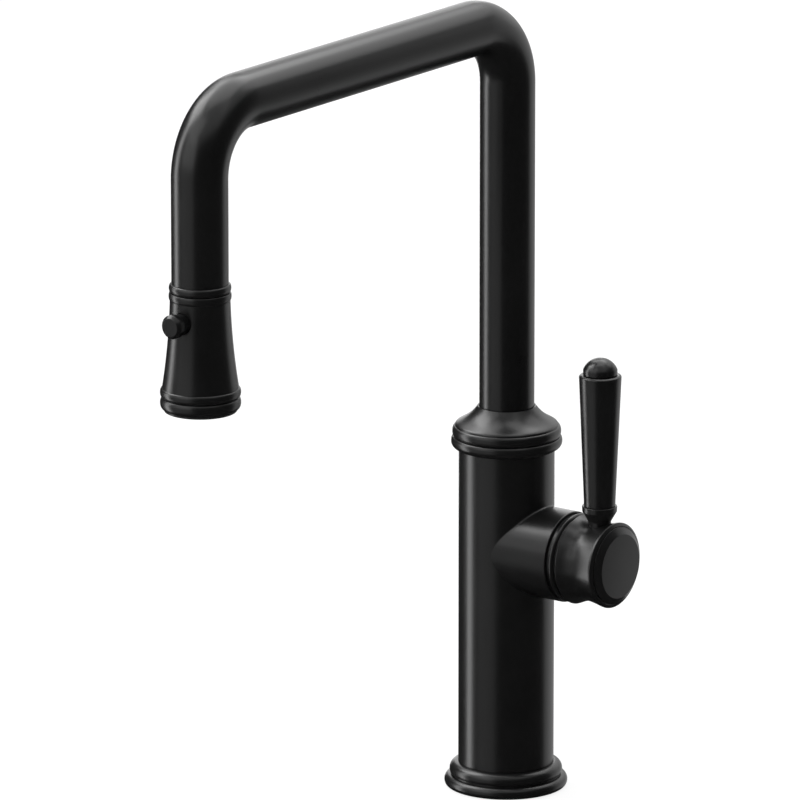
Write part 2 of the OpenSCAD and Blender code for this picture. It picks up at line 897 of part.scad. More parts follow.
// A ring of n points about Z at the given angle of a helix.
function coil_ring(a, n, rise) =
    [for (j = [0:n - 1]) let (b = 360 * j / n, q = spring_r + spring_wire / 2 * cos(b))
        [q * cos(a), q * sin(a), rise + spring_wire / 2 * sin(b)]];

// Button's return spring, at the length it has with the button pressed home.
module button_spring() {
    sides = spring_sides;
    steps = spring_steps * spring_turns;
    step_deg = 360 / spring_steps;
    climb = spring_l - spring_wire;
    points = [for (i = [0:steps]) each
        coil_ring(step_deg * i, sides, spring_wire / 2 + climb * i / steps)];
    walls = [for (i = [0:steps - 1], j = [0:sides - 1]) let (k = (j + 1) % sides)
        [i * sides + j, i * sides + k, (i + 1) * sides + k, (i + 1) * sides + j]];
    first = [for (j = [sides - 1:-1:0]) j];
    last = [for (j = [0:sides - 1]) steps * sides + j];
    color(steel) on_button_axis() translate([0, 0, spring_foot])
        polyhedron(points, concat(walls, [first, last]));
}

// Push button with a chamfered face and a pocket for its spring.
module button_cap() {
    color(black) on_button_axis() difference() {
        lathe([[0, button_back], [button_r, button_back], [button_r, button_face - button_chamfer],
               [button_flat_r, button_face], [0, button_face]]);
        difference() {
            rod(button_pocket_r, button_back - eps, button_pocket);
            rod(stem_push_r + stem_sleeve, button_back - 2 * eps, button_pocket);
        }
        rod(stem_push_r + run_gap, button_back - eps, button_seat);
    }
}

// Button's stem with the poppet on its inner end.
module button_stem() {
    color(steel) on_button_axis() union() {
        rod(stem_push_r, poppet_d, button_seat - seat_gap);
        rod(poppet_r, poppet_d - poppet_t, poppet_d);
    }
}

// Rotor that turns with the lever and carries its pivot pin.
module valve_rotor() {
    color(grey_plastic) on_valve_axis() difference() {
        union() {
            rod(rotor_flange_r, rotor_x, cart_front - cart_front_t - run_gap);
            rod(rotor_r, rotor_x, rotor_end);
        }
        translate([-slot_top, -slot_half_y, rotor_x - eps])
            cube([slot_top + slot_low, 2 * slot_half_y, rotor_end - rotor_x + 2 * eps]);
        translate([0, 0, pivot_x]) rotate([90, 0, 0])
            cylinder(r = pin_r + 0.02, h = 4 * rotor_r, center = true);
    }
}

module pivot_pin() {
    half = sqrt(rotor_r * rotor_r - pin_r * pin_r) - 0.1;
    color(steel) translate([pivot_x, 0, valve_z]) rotate([90, 0, 0])
        cylinder(r = pin_r, h = 2 * half, center = true);
}

module moving_disc() {
    color(ceramic) on_valve_axis() rod(mover_r, mover_x, carrier_x);
}

// Carrier that the stem's arm drags across the fixed disc.
module disc_carrier() {
    color(grey_plastic) on_valve_axis() difference() {
        rod(mover_r, carrier_x, carrier_end);
        rod(ball_r + ball_play, carrier_x + carrier_floor, carrier_end + eps);
    }
}

// Lever stem: a shank in the hub, a cross bore on the pin and a ball-ended arm.
module valve_stem() {
    color(steel) on_valve_axis() difference() {
        union() {
            rod(stem_r, arm_shoulder, stem_end);
            rod(arm_r, arm_x, arm_shoulder + eps);
            translate([0, 0, arm_x]) sphere(r = ball_r);
        }
        translate([0, 0, pivot_x]) rotate([90, 0, 0])
            cylinder(r = pin_r + run_gap, h = 3 * stem_r, center = true);
    }
}

// Hub's side from its rim to the cap, as [radius, distance from the column's axis],
// set out by the given amount.
function hub_side(out = 0) = concat(
    curve([hub_rim_r - rim_draw + out, hub_x + rim_land],
          [hub_rim_r - rim_slope + out, hub_x + waist_back + rim_land],
          [hub_waist_r + out, waist_x - waist_back], [hub_waist_r + out, waist_x]),
    curve([hub_waist_r + out, waist_x], [hub_waist_r + out, waist_x + waist_flare],
          [cap_r - cap_lip - lip_slope + out, cap_x - waist_flare],
          [cap_r - cap_lip + out, cap_x], 8));

// Hub: a waisted turning with a spherical cavity over the dome ring.
module handle_hub() {
    color(black) difference() {
        on_valve_axis() difference() {
            lathe(concat(
                [[0, hub_x], [hub_rim_r - rim_edge, hub_x]],
                arc([hub_rim_r - rim_edge, hub_x + rim_edge], rim_edge, -90, 10, 4),
                hub_side(),
                [[cap_spigot_r + fit_gap, cap_x], [cap_spigot_r + fit_gap, cap_x - cap_spigot],
                 [0, cap_x - cap_spigot]]
            ));
            translate([0, 0, pivot_x]) sphere(r = hub_bore_r);
            rod(stem_r + run_gap, hub_x, stem_end + eps);
        }
        on_lever_axis() rod(rod_r + run_gap, rod_z, valve_z + cap_r);
        translate([screw_x, 0, valve_z]) rotate([180, 0, 0]) cylinder(r = screw_r, h = cap_r + 2);
    }
}

// Cap that closes the hub's outer end.
module hub_cap() {
    spigot_x = cap_x - cap_spigot + seat_gap;
    line_x = cap_edge_x + cap_chamfer;
    color(black) on_valve_axis() lathe([
        [0, spigot_x], [cap_spigot_r, spigot_x], [cap_spigot_r, cap_x],
        [cap_r - cap_lip, cap_x], [cap_r, cap_edge_x - cap_edge_w], [cap_r, cap_edge_x],
        [cap_line_r, line_x], [cap_line_r - cap_edge_w, line_x],
        [cap_face_r, cap_x + cap_t], [0, cap_x + cap_t]
    ]);
}

// Set screw under the hub that clamps the stem.
module hub_screw() {
    tip = stem_r + 0.1;
    head = hub_waist_r - 1;
    color(steel) translate([screw_x, 0, valve_z]) rotate([180, 0, 0]) difference() {
        rod(screw_r - run_gap, tip, head);
        translate([0, 0, head - 2]) cylinder(r = screw_r * 0.55, h = 3, $fn = 6);
    }
}

// Neck, cone and band between the hub and the grip.
module lever_neck() {
    color(black) difference() {
        on_lever_axis() lathe([
            [rod_r + run_gap, valve_z], [neck_r, valve_z], [neck_r, cone_z],
            [band_r - band_edge, band_z - band_edge], [band_r, band_z], [band_r, grip_z - band_edge],
            [band_r - band_edge, grip_z], [rod_r + run_gap, grip_z]
        ]);
        on_valve_axis()
            lathe(concat([[0, hub_x + rim_land]], hub_side(seat_gap), [[0, cap_x]]));
    }
}

// Tapered grip, wider at its head.
module lever_grip() {
    foot = grip_z + 2 * eps;
    color(black) on_lever_axis() lathe(concat(
        [[rod_r + run_gap, foot], [grip_foot_r, foot], [grip_foot_r, grip_z + grip_straight]],
        arc([grip_head_r - grip_edge, grip_top - grip_edge], grip_edge, 0, 90, 6),
        [[rod_r + run_gap, grip_top]]
    ));
}

// Stud that holds the hub, neck, grip and finial together.
module lever_rod() {
    color(steel) on_lever_axis() rod(rod_r, rod_z + 0.1, rod_top);
}

// Domed finial on the grip's head.
module lever_finial() {
    foot = grip_top + seat_gap;
    dome_h = finial_h - finial_side;
    color(black) on_lever_axis() difference() {
        lathe(concat(
            [[0, foot], [finial_r - finial_edge, foot], [finial_r, foot + finial_edge],
             [finial_r, foot + finial_side]],
            [for (a = [15:15:90]) [finial_r * cos(a), foot + finial_side + dome_h * sin(a)]]
        ));
        rod(rod_r + run_gap, foot - eps, rod_top + seat_gap);
    }
}

base_flange();
base_gasket();
column();
valve_boss();
shank();
washer_rubber();
washer_steel();
lock_nut();
jack_screws();
collar();
swivel_bush();
manifold();
cartridge_base();
port_seals();
fixed_disc();
cartridge_housing();
cartridge_nut();
dome_ring();
spout_tube();
spout_stem();
stem_o_rings();
stem_clip();
outlet_ferrule();
docking_socket();
dock_magnet();
head_shell();
dock_plug();
keeper_ring();
hose_nut();
waterway();
head_seal();
nozzle_pad();
spray_face();
aerator();
button_spring();
button_cap();
button_stem();
valve_rotor();
pivot_pin();
moving_disc();
disc_carrier();
valve_stem();
handle_hub();
hub_cap();
hub_screw();
lever_neck();
lever_grip();
lever_rod();
lever_finial();
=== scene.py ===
"""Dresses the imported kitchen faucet: turned, bent and filleted covers, their finishes, and a plain studio."""

import math
import json

import bmesh
import bpy
from bpy.props import FloatProperty, FloatVectorProperty, IntProperty, PointerProperty
from bpy.types import Operator, Panel, PropertyGroup
from mathutils import Matrix, Vector


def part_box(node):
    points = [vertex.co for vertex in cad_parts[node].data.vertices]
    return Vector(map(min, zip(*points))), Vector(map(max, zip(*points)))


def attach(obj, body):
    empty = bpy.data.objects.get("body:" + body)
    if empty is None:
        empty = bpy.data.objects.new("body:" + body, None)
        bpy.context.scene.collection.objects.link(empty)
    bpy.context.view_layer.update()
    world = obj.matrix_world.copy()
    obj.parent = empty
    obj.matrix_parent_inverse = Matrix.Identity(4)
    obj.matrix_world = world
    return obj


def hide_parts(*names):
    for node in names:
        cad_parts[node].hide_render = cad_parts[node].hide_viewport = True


bl_info = {
    "name": "Pull-down faucet looks",
    "version": (1, 0, 0),
    "blender": (4, 5, 0),
    "location": "3D View > Sidebar > Faucet",
    "description": "Covers, finishes and studio for a single-lever pull-down kitchen faucet",
    "category": "Object",
}

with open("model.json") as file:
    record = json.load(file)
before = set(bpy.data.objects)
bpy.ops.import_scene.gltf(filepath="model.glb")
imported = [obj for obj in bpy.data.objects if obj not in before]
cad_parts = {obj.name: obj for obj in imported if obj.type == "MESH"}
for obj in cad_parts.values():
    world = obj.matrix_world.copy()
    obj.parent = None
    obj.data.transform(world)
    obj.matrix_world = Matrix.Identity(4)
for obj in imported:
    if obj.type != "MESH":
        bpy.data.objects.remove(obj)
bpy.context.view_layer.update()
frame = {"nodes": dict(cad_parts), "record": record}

MM = 0.001
QUARTER = math.pi / 2
FULL_TURN = 2 * math.pi
WHITE = (1.0, 1.0, 1.0, 1.0)

# Distance up to which vertices are welded, and the largest turn between the facets of a fillet
# and of a surface that is shaded smooth.
WELD = 0.5e-6
ARC_STEP = math.radians(9)
SMOOTH_ANGLE = math.radians(32)

# Gaps between two edges of one outline, and between a cover and what it fits.
HAIR = 0.02 * MM
CLEARANCE = 0.05 * MM

ALONG_X = Vector((1, 0, 0))
ALONG_Y = Vector((0, 1, 0))
ALONG_Z = Vector((0, 0, 1))

# Ways a turned piece may lie: where its radius and its height point.
UPRIGHT = (ALONG_X, ALONG_Z)
SIDEWAYS = (ALONG_Z, ALONG_X)
FORWARD = (ALONG_X, -ALONG_Y)


def middle(node):
    """Centre of a CAD node's box."""
    low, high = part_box(node)
    return (low + high) / 2


def low_corner(node):
    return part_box(node)[0]


def high_corner(node):
    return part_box(node)[1]


def half_size(node, axis):
    """Half of a CAD node's box along an axis, given as 0, 1 or 2."""
    low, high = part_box(node)
    return (high[axis] - low[axis]) / 2


# Places and sizes that the CAD nodes give, in metres.
COLUMN_R = half_size("column", 1)
COLUMN_TOP = high_corner("column").z
COLUMN_FOOT = low_corner("column").z
VALVE_Z = middle("cartridge_housing").z
BOSS_LIP = high_corner("valve_boss").x
PIVOT_X = middle("pivot_pin").x
DOME_R = half_size("dome_ring", 1)
LEVER_X = middle("lever_grip").x
CAP_SEAT = high_corner("handle_hub").x
CAP_FACE = high_corner("hub_cap").x
OUTLET_Y = middle("head_shell").y
HEAD_TOP = high_corner("head_shell").z
HEAD_FOOT = low_corner("head_shell").z
TUBE_R = half_size("spout_tube", 0)
TUBE_FOOT = low_corner("spout_tube").z
TUBE_TOP = high_corner("spout_tube").z
TUBE_END = high_corner("outlet_ferrule").z
FERRULE_FOOT = low_corner("outlet_ferrule").z
FERRULE_LIP = FERRULE_FOOT + 0.6 * MM
COLLAR_TOP = high_corner("collar").z
FLANGE_TOP = high_corner("base_flange").z
GRIP_FOOT = low_corner("lever_grip").z
GRIP_TOP = high_corner("lever_grip").z
FINIAL_TOP = high_corner("lever_finial").z
BUTTON_Z = middle("button_cap").z
BUTTON_R = half_size("button_cap", 0)
BUTTON_FACE = OUTLET_Y - low_corner("button_cap").y
DOME_SPHERE_R = math.hypot(DOME_R, low_corner("dome_ring").x - PIVOT_X)

# Where the shank's thread ends, under the worktop's upper face.
THREAD_TOP = -4 * MM

# The floor lies a little under the flange's foot, so the two never share a plane.
FLOOR_Z = -0.3 * MM

# Rings of nozzles in the spray face: radius and number.
NOZZLE_RINGS = [(9.9 * MM, 12), (12.7 * MM, 16)]

# Materials by the record's slot names.
FINISHES = {}


def length(name, millimetres, description):
    """A length property, given in millimetres and kept in metres."""
    return FloatProperty(name=name, description=description, default=millimetres * MM,
                         min=0.0, unit="LENGTH", precision=5)


def colour(name, red, green, blue, description):
    """A linear colour property."""
    return FloatVectorProperty(name=name, description=description, default=(red, green, blue),
                               size=3, min=0.0, max=1.0, subtype="COLOR")


def factor(name, value, description):
    """A plain number property from 0 to 1."""
    return FloatProperty(name=name, description=description, default=value, min=0.0, max=1.0)


def turn(name, degrees, description):
    """An angle property, given in degrees."""
    return FloatProperty(name=name, description=description, default=math.radians(degrees),
                         unit="ROTATION")


class FaucetSizes(PropertyGroup):
    """Sizes of the turned and bent covers."""

    turning_steps: IntProperty(name="Turning steps", description="Sides of a turned cover",
                               default=128, min=24, max=256)
    flange_low_crest: length("Flange lower bead", 28.5, "Radius of the base flange's lower bead")
    flange_low_top: length("Flange lower bead top", 5.2, "Height of the groove over the lower bead")
    flange_up_crest: length("Flange upper bead", 26.1, "Radius of the base flange's upper bead")
    flange_groove: length("Flange groove", 25.45, "Radius of the groove between the beads")
    collar_low_crest: length("Collar lower bead", 25.65, "Radius of the collar's lower bead")
    collar_up_crest: length("Collar upper bead", 25.1, "Radius of the collar's upper bead")
    collar_low_h: length("Collar lower bead height", 5.5, "Height of the collar's lower bead")
    collar_up_h: length("Collar upper bead height", 4.9, "Height of the collar's upper bead")
    boss_r: length("Boss", 21.1, "Radius of the valve boss on the column")
    boss_fillet: length("Boss fillet", 1.2, "Fillet where the boss leaves the column")
    boss_bore: length("Boss bore", 17.5, "Radius of the bore that takes the cartridge")
    boss_mouth: length("Boss mouth", 19.0, "Radius of the thread at the boss's mouth")
    column_wall: length("Column wall", 2.0, "Wall of the column")
    shank_r: length("Shank", 16.6, "Radius of the shank over its thread")
    shank_bore: length("Shank bore", 15.1, "Radius of the bore through the shank")
    thread_pitch: length("Thread pitch", 1.5, "Pitch of the shank's thread")
    bend_r: length("Bend radius", 30.0, "Radius of the spout's bends at the tube's centre")
    tube_wall: length("Tube wall", 1.2, "Wall of the spout tube")
    head_waist: length("Head waist", 13.45, "Radius of the spray head under its top bead")
    head_neck: length("Head neck", 17.1, "Radius of the spray head over its mouth beads")
    head_bead: length("Head top bead", 13.95, "Radius of the bead at the spray head's top")
    mouth_bead: length("Mouth bead", 18.0, "Radius of the beads at the spray head's mouth")
    hub_rim: length("Hub rim", 20.85, "Radius of the hub's inner rim")
    hub_waist: length("Hub waist", 18.3, "Smallest radius of the hub")
    cap_r: length("Cap", 19.85, "Largest radius of the hub's cap")
    cap_face_r: length("Cap face", 14.9, "Radius of the cap's flat face")
    neck_r: length("Lever neck", 5.3, "Radius of the lever's neck")
    band_r: length("Lever band", 8.1, "Radius of the band under the grip")
    grip_foot_r: length("Grip foot", 7.25, "Radius of the grip at its foot")
    grip_head_r: length("Grip head", 9.8, "Radius of the grip at its head")
    finial_r: length("Finial", 7.9, "Radius of the finial")


class FaucetFinish(PropertyGroup):
    """Colours and textures of the finishes."""

    coat_dark: colour("Coat, dark", 0.0030, 0.0030, 0.0031, "Darker tone of the black coat")
    coat_light: colour("Coat, light", 0.0044, 0.0044, 0.0045, "Lighter tone of the black coat")
    coat_roughness: factor("Coat roughness", 0.29, "Roughness of the black coat")
    coat_grain: length("Coat grain", 0.55, "Size of the coat's fine grain")
    coat_relief: factor("Coat relief", 0.03, "Strength of the coat's fine grain")
    coat_specular: factor("Coat specular", 0.5, "Specular level of the black coat")
    steel: colour("Steel", 0.56, 0.56, 0.55, "Colour of the steel pieces")
    brass: colour("Brass", 0.70, 0.50, 0.24, "Colour of the brass pieces")
    rubber: colour("Rubber", 0.018, 0.018, 0.019, "Colour of the rubber pieces")
    pale_plastic: colour("Pale plastic", 0.72, 0.72, 0.68, "Colour of the pale plastic pieces")
    grey_plastic: colour("Grey plastic", 0.014, 0.014, 0.015, "Colour of the grey plastic pieces")
    ceramic: colour("Ceramic", 0.80, 0.77, 0.70, "Colour of the cartridge's discs")


class FaucetStudio(PropertyGroup):
    """Camera, lamps and floor."""

    azimuth: turn("Azimuth", 36.5, "Direction that the camera looks along, round from +Y")
    elevation: turn("Elevation", 15.0, "Height of the camera above the horizon")
    distance: length("Distance", 4920.0, "Level distance from the camera to the aim")
    aim_height: length("Aim height", 183.62, "Height that the camera aims at")
    aim_left: length("Aim to the left", 49.05, "How far left of the column the camera aims")
    focal: FloatProperty(name="Focal length", description="Focal length of the lens, in millimetres",
                         default=499.05, min=20.0, max=1000.0)
    floor: length("Floor", 12000.0, "Width of the floor")
    floor_glow: factor("Floor glow", 0.85, "Share of the floor's white that needs no lamp")
    world_level: factor("World level", 0.45, "Strength of the even light all round")
    mirror_level: factor("Mirrored level", 0.03, "Strength of the surroundings in reflections")


class FaucetStep:
    """What every operator of the faucet shares."""

    bl_options = {"REGISTER", "UNDO"}


# ---------------------------------------------------------------- outlines

def spaced(begin, finish, steps):
    """Even steps from begin to finish, without begin itself."""
    return [begin + (finish - begin) * k / steps for k in range(1, steps + 1)]


def rounded(corners, closed=False):
    """Gives the outline through corners of (across, along, fillet), with its corners filleted."""
    outline = []
    last = len(corners) - 1
    for i, (across, along, fillet) in enumerate(corners):
        here = Vector((across, along))
        if fillet <= 0 or (not closed and i in (0, last)):
            outline.append(here)
            continue
        back = Vector(corners[i - 1][:2]) - here
        ahead = Vector(corners[(i + 1) % len(corners)][:2]) - here
        outline.extend(fillet_points(here, back, ahead, fillet))
    return outline


def fillet_points(here, back, ahead, fillet):
    """Points of the arc that rounds a corner between two directions."""
    straight, largest_share = 1e-3, 0.49
    opening = back.angle(ahead)
    if math.pi - opening < straight:
        return [here]
    room = largest_share * min(back.length, ahead.length)
    reach = min(fillet / math.tan(opening / 2), room)
    radius = reach * math.tan(opening / 2)
    start = here + back.normalized() * reach
    bisector = (back.normalized() + ahead.normalized()).normalized()
    centre = here + bisector * (radius / math.sin(opening / 2))
    sweep = math.pi - opening
    steps = max(2, math.ceil(sweep / ARC_STEP))
    sense = -1 if back.x * ahead.y - back.y * ahead.x > 0 else 1
    arm = start - centre
    return [centre + Matrix.Rotation(sense * sweep * k / steps, 2) @ arm for k in range(steps + 1)]


def cubic(start, first, second, end, steps):
    """Points of a cubic curve from start to end with two handles."""
    points = []
    for k in range(steps + 1):
        t = k / steps
        s = 1 - t
        points.append(s ** 3 * Vector(start) + 3 * s * s * t * Vector(first)
                      + 3 * s * t * t * Vector(second) + t ** 3 * Vector(end))
    return points


def arc(centre, radius, begin, end, steps):
    """Points of an arc, its angles in degrees from the across direction."""
    points = []
    for k in range(steps + 1):
        angle = math.radians(begin + (end - begin) * k / steps)
        points.append(Vector(centre) + radius * Vector((math.cos(angle), math.sin(angle))))
    return points


def quarter(start, end, upward=False, fullness=0.56, steps=10):
    """Points of a quarter round that leaves its start level or, with upward, straight up."""
    (across, along), (far_across, far_along) = start, end
    wide, tall = far_across - across, far_along - along
    if upward:
        handles = (across, along + fullness * tall), (far_across - fullness * wide, far_along)
    else:
        handles = (across + fullness * wide, along), (far_across, far_along - fullness * tall)
    return cubic(start, *handles, end, steps)


def bead(crest, low, high, draw, steps=10):
    """Points of a bead's outer side from its foot up, drawn in at its edges by draw."""
    half = (high - low) / 2
    points = []
    for k in range(steps + 1):
        angle = -QUARTER + math.pi * k / steps
        points.append((crest - draw + draw * math.cos(angle), low + half + half * math.sin(angle)))
    return points


# ---------------------------------------------------------------- modelling

def leave_edit_mode():
    if bpy.context.mode != "OBJECT":
        bpy.ops.object.mode_set(mode="OBJECT")


def start_primitive(name, adder, **options):
    """Adds a primitive at the origin with nothing else selected, and leaves it in edit mode."""
    leave_edit_mode()
    bpy.ops.object.select_all(action="DESELECT")
    adder(enter_editmode=True, location=(0, 0, 0), **options)
    piece = bpy.context.active_object
    piece.name = name
    piece.data.name = name
    return piece


def start_point(name, place):
    """Begins a piece as a single vertex at a place."""
    piece = start_primitive(name, bpy.ops.mesh.primitive_plane_add, size=MM)
    bpy.ops.mesh.merge(type="CENTER")
    bpy.ops.transform.translate(value=place)
    return piece


def extrude_by(step):
    bpy.ops.mesh.extrude_region_move(TRANSFORM_OT_translate={"value": step})


def join_ends():
    """Closes the traced outline with an edge between its first and last vertex."""
    mesh = bmesh.from_edit_mesh(bpy.context.active_object.data)
    bpy.ops.mesh.select_all(action="DESELECT")
    for vertex in mesh.verts:
        vertex.select = len(vertex.link_edges) < 2
    mesh.select_flush_mode()
    bmesh.update_edit_mesh(bpy.context.active_object.data)
    bpy.ops.mesh.edge_face_add()


def weld_and_face_out():
    bpy.ops.mesh.select_all(action="SELECT")
    bpy.ops.mesh.remove_doubles(threshold=WELD)
    bpy.ops.mesh.normals_make_consistent(inside=False)


def turned(name, outline, lie, origin, closed=False, steps=None):
    """Turns an outline of (radius, height) about an axis through origin, as on a lathe."""
    across, along = lie
    places = [Vector(origin) + across * point[0] + along * point[1] for point in outline]
    piece = start_point(name, places[0])
    for before, after in zip(places, places[1:]):
        extrude_by(after - before)
    if closed:
        join_ends()
    bpy.ops.mesh.select_all(action="SELECT")
    steps = steps or bpy.context.scene.faucet_sizes.turning_steps
    bpy.ops.mesh.spin(steps=steps, angle=FULL_TURN, center=origin, axis=along)
    weld_and_face_out()
    leave_edit_mode()
    return piece


def apply_modifier(piece, kind, **settings):
    """Adds a modifier to a piece and applies it."""
    modifier = piece.modifiers.new(kind.title(), kind)
    for name, value in settings.items():
        setattr(modifier, name, value)
    bpy.context.view_layer.objects.active = piece
    bpy.ops.object.modifier_apply(modifier=modifier.name)


def drill(piece, radius, origin, along, reach, sides=64):
    """Cuts a round hole from origin towards a direction."""
    cutter = start_primitive("cutter", bpy.ops.mesh.primitive_cylinder_add,
                             vertices=sides, radius=radius, depth=reach)
    leave_edit_mode()
    tilt = ALONG_Z.rotation_difference(along).to_matrix().to_4x4()
    cutter.data.transform(Matrix.Translation(Vector(origin) + along * reach / 2) @ tilt)
    apply_modifier(piece, "BOOLEAN", operation="DIFFERENCE", object=cutter, solver="EXACT")
    bpy.data.objects.remove(cutter)


def assign(piece, slot, body, *nodes):
    """Gives a piece its slot's finish, has it ride on its body and stand for CAD nodes."""
    piece.data.materials.clear()
    piece.data.materials.append(FINISHES[slot])
    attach(piece, body)
    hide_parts(*nodes)


def dress(piece, slot, body, *nodes):
    """Smooths a piece and assigns it."""
    leave_edit_mode()
    bpy.ops.object.select_all(action="DESELECT")
    piece.select_set(True)
    bpy.context.view_layer.objects.active = piece
    bpy.ops.object.shade_smooth_by_angle(angle=SMOOTH_ANGLE)
    assign(piece, slot, body, *nodes)


def coated(piece, body, *nodes):
    """Dresses a piece in the black coat."""
    dress(piece, "matte_black", body, *nodes)


# ---------------------------------------------------------------- finishes

class Value:
    """A shader socket that takes part in Python arithmetic."""

    def __init__(self, recipe, socket):
        self.recipe = recipe
        self.socket = socket

    def _math(self, operation, left, right):
        node = self.recipe.node("ShaderNodeMath", {"operation": operation}, {0: left, 1: right})
        return Value(self.recipe, node.outputs[0])

    def __add__(self, other):
        return self._math("ADD", self, other)

    __radd__ = __add__

    def __sub__(self, other):
        return self._math("SUBTRACT", self, other)

    def __rsub__(self, other):
        return self._math("SUBTRACT", other, self)

    def __mul__(self, other):
        return self._math("MULTIPLY", self, other)

    __rmul__ = __mul__

    def between(self, low, high):
        """0 up to the low level, 1 from the high one, and even between them."""
        node = self.recipe.node("ShaderNodeMapRange", {"clamp": True},
                                {"Value": self, "From Min": low, "From Max": high})
        return Value(self.recipe, node.outputs["Result"])


class Recipe:
    """Builds the nodes of one material or world."""

    def __init__(self, owner):
        owner.use_nodes = True
        self.tree = owner.node_tree
        self.tree.nodes.clear()

    def node(self, kind, settings=None, inputs=None):
        """Adds a node: its settings first, then the values or links of its sockets."""
        node = self.tree.nodes.new(kind)
        for name, value in (settings or {}).items():
            setattr(node, name, value)
        for key, value in (inputs or {}).items():
            if isinstance(value, Value):
                self.tree.links.new(value.socket, node.inputs[key])
            else:
                node.inputs[key].default_value = value
        return node

    def value(self, kind, output, settings=None, inputs=None):
        return Value(self, self.node(kind, settings, inputs).outputs[output])

    def place(self):
        """Object coordinates, in metres."""
        return self.value("ShaderNodeTexCoord", "Object")

    def noise(self, size, detail, vector=None):
        """Noise whose features are about the given size, from 0 to 1."""
        return self.value("ShaderNodeTexNoise", "Fac", None,
                          {"Vector": vector or self.place(), "Scale": 1 / size, "Detail": detail})

    def blend(self, share, first, second):
        """A colour between two colours, through the colour sockets of a Mix node."""
        return self.value("ShaderNodeMix", 2, {"data_type": "RGBA"}, {0: share, 6: first, 7: second})

    def bump(self, height, strength, depth):
        """A normal from a height between 0 and 1, which stands for a depth in metres."""
        return self.value("ShaderNodeBump", "Normal", None,
                          {"Height": height, "Strength": strength, "Distance": depth})

    def surface(self, **inputs):
        """Ends the material in a Principled shader with the given inputs."""
        names = {name.replace("_", " "): value for name, value in inputs.items()}
        shader = self.node("ShaderNodeBsdfPrincipled", None, names)
        self.node("ShaderNodeOutputMaterial", None, {"Surface": Value(self, shader.outputs[0])})


def opaque(tone):
    return (*tone, 1.0)


def scaled(tone, share):
    """An opaque colour that is lighter or darker than a tone."""
    return opaque(channel * share for channel in tone)


def black_coat(finish):
    """Baked black coat: fine even grain, faint clouds in tone and gloss."""
    cloud_size, grain_depth = 28 * MM, 0.05 * MM
    cloud_gloss, grain_gloss = 0.05, 0.04
    material = bpy.data.materials.new("black_coat")
    recipe = Recipe(material)
    grain = recipe.noise(finish.coat_grain, 3.0)
    clouds = recipe.noise(cloud_size, 3.0)
    dark, light = opaque(finish.coat_dark), opaque(finish.coat_light)
    recipe.surface(
        Base_Color=recipe.blend(clouds.between(0.3, 0.7), dark, light),
        Roughness=finish.coat_roughness + (clouds - 0.5) * cloud_gloss + (grain - 0.5) * grain_gloss,
        Specular_IOR_Level=finish.coat_specular,
        Normal=recipe.bump(grain, finish.coat_relief, grain_depth),
    )
    return material


def bare_steel(finish):
    """Drawn steel with fine lines and a little wear."""
    material = bpy.data.materials.new("bare_steel")
    recipe = Recipe(material)
    stretch = recipe.value("ShaderNodeMapping", "Vector", None,
                           {"Vector": recipe.place(), "Scale": (1.0, 1.0, 14.0)})
    lines = recipe.noise(1.4 * MM, 4.0, stretch)
    clouds = recipe.noise(9 * MM, 3.0)
    tone = recipe.blend(clouds, scaled(finish.steel, 0.86), opaque(finish.steel))
    recipe.surface(
        Base_Color=tone,
        Metallic=1.0,
        Roughness=0.28 + lines * 0.16,
        Normal=recipe.bump(lines, 0.12, 0.03 * MM),
    )
    return material


def machined_brass(finish):
    """Turned brass with tool marks round it and darker stains."""
    material = bpy.data.materials.new("machined_brass")
    recipe = Recipe(material)
    stretch = recipe.value("ShaderNodeMapping", "Vector", None,
                           {"Vector": recipe.place(), "Scale": (0.15, 0.15, 9.0)})
    marks = recipe.noise(2.2 * MM, 3.0, stretch)
    stains = recipe.noise(7 * MM, 4.0)
    tone = recipe.blend(stains.between(0.35, 0.75), opaque(finish.brass), scaled(finish.brass, 0.62))
    recipe.surface(
        Base_Color=tone,
        Metallic=1.0,
        Roughness=0.24 + stains * 0.22,
        Normal=recipe.bump(marks, 0.18, 0.04 * MM),
    )
    return material


def moulded(name, tone, roughness, grain_size, relief):
    """Moulded plastic or rubber: spark-eroded grain and faint flow clouds."""
    material = bpy.data.materials.new(name)
    recipe = Recipe(material)
    grain = recipe.noise(grain_size, 2.0)
    clouds = recipe.noise(16 * MM, 3.0)
    recipe.surface(
        Base_Color=recipe.blend(clouds, scaled(tone, 0.88), scaled(tone, 1.08)),
        Roughness=roughness + (grain - 0.5) * 0.12,
        Normal=recipe.bump(grain, relief, 0.05 * MM),
    )
    return material


def fired_ceramic(finish):
    """Lapped ceramic: smooth, with a faint mottle."""
    material = bpy.data.materials.new("fired_ceramic")
    recipe = Recipe(material)
    mottle = recipe.noise(1.2 * MM, 3.0)
    recipe.surface(
        Base_Color=recipe.blend(mottle, scaled(finish.ceramic, 0.93), opaque(finish.ceramic)),
        Roughness=0.18 + mottle * 0.08,
        Coat_Weight=0.3,
    )
    return material


def make_finishes(finish):
    """Makes every finish once, under the record's slot names."""
    FINISHES["matte_black"] = black_coat(finish)
    FINISHES["steel"] = bare_steel(finish)
    FINISHES["brass"] = machined_brass(finish)
    FINISHES["rubber"] = moulded("soft_rubber", finish.rubber,
                                 roughness=0.62, grain_size=0.35 * MM, relief=0.12)
    FINISHES["white_plastic"] = moulded("pale_plastic", finish.pale_plastic,
                                        roughness=0.42, grain_size=0.5 * MM, relief=0.08)
    FINISHES["grey_plastic"] = moulded("grey_plastic", finish.grey_plastic,
                                       roughness=0.40, grain_size=0.4 * MM, relief=0.10)
    FINISHES["ceramic"] = fired_ceramic(finish)


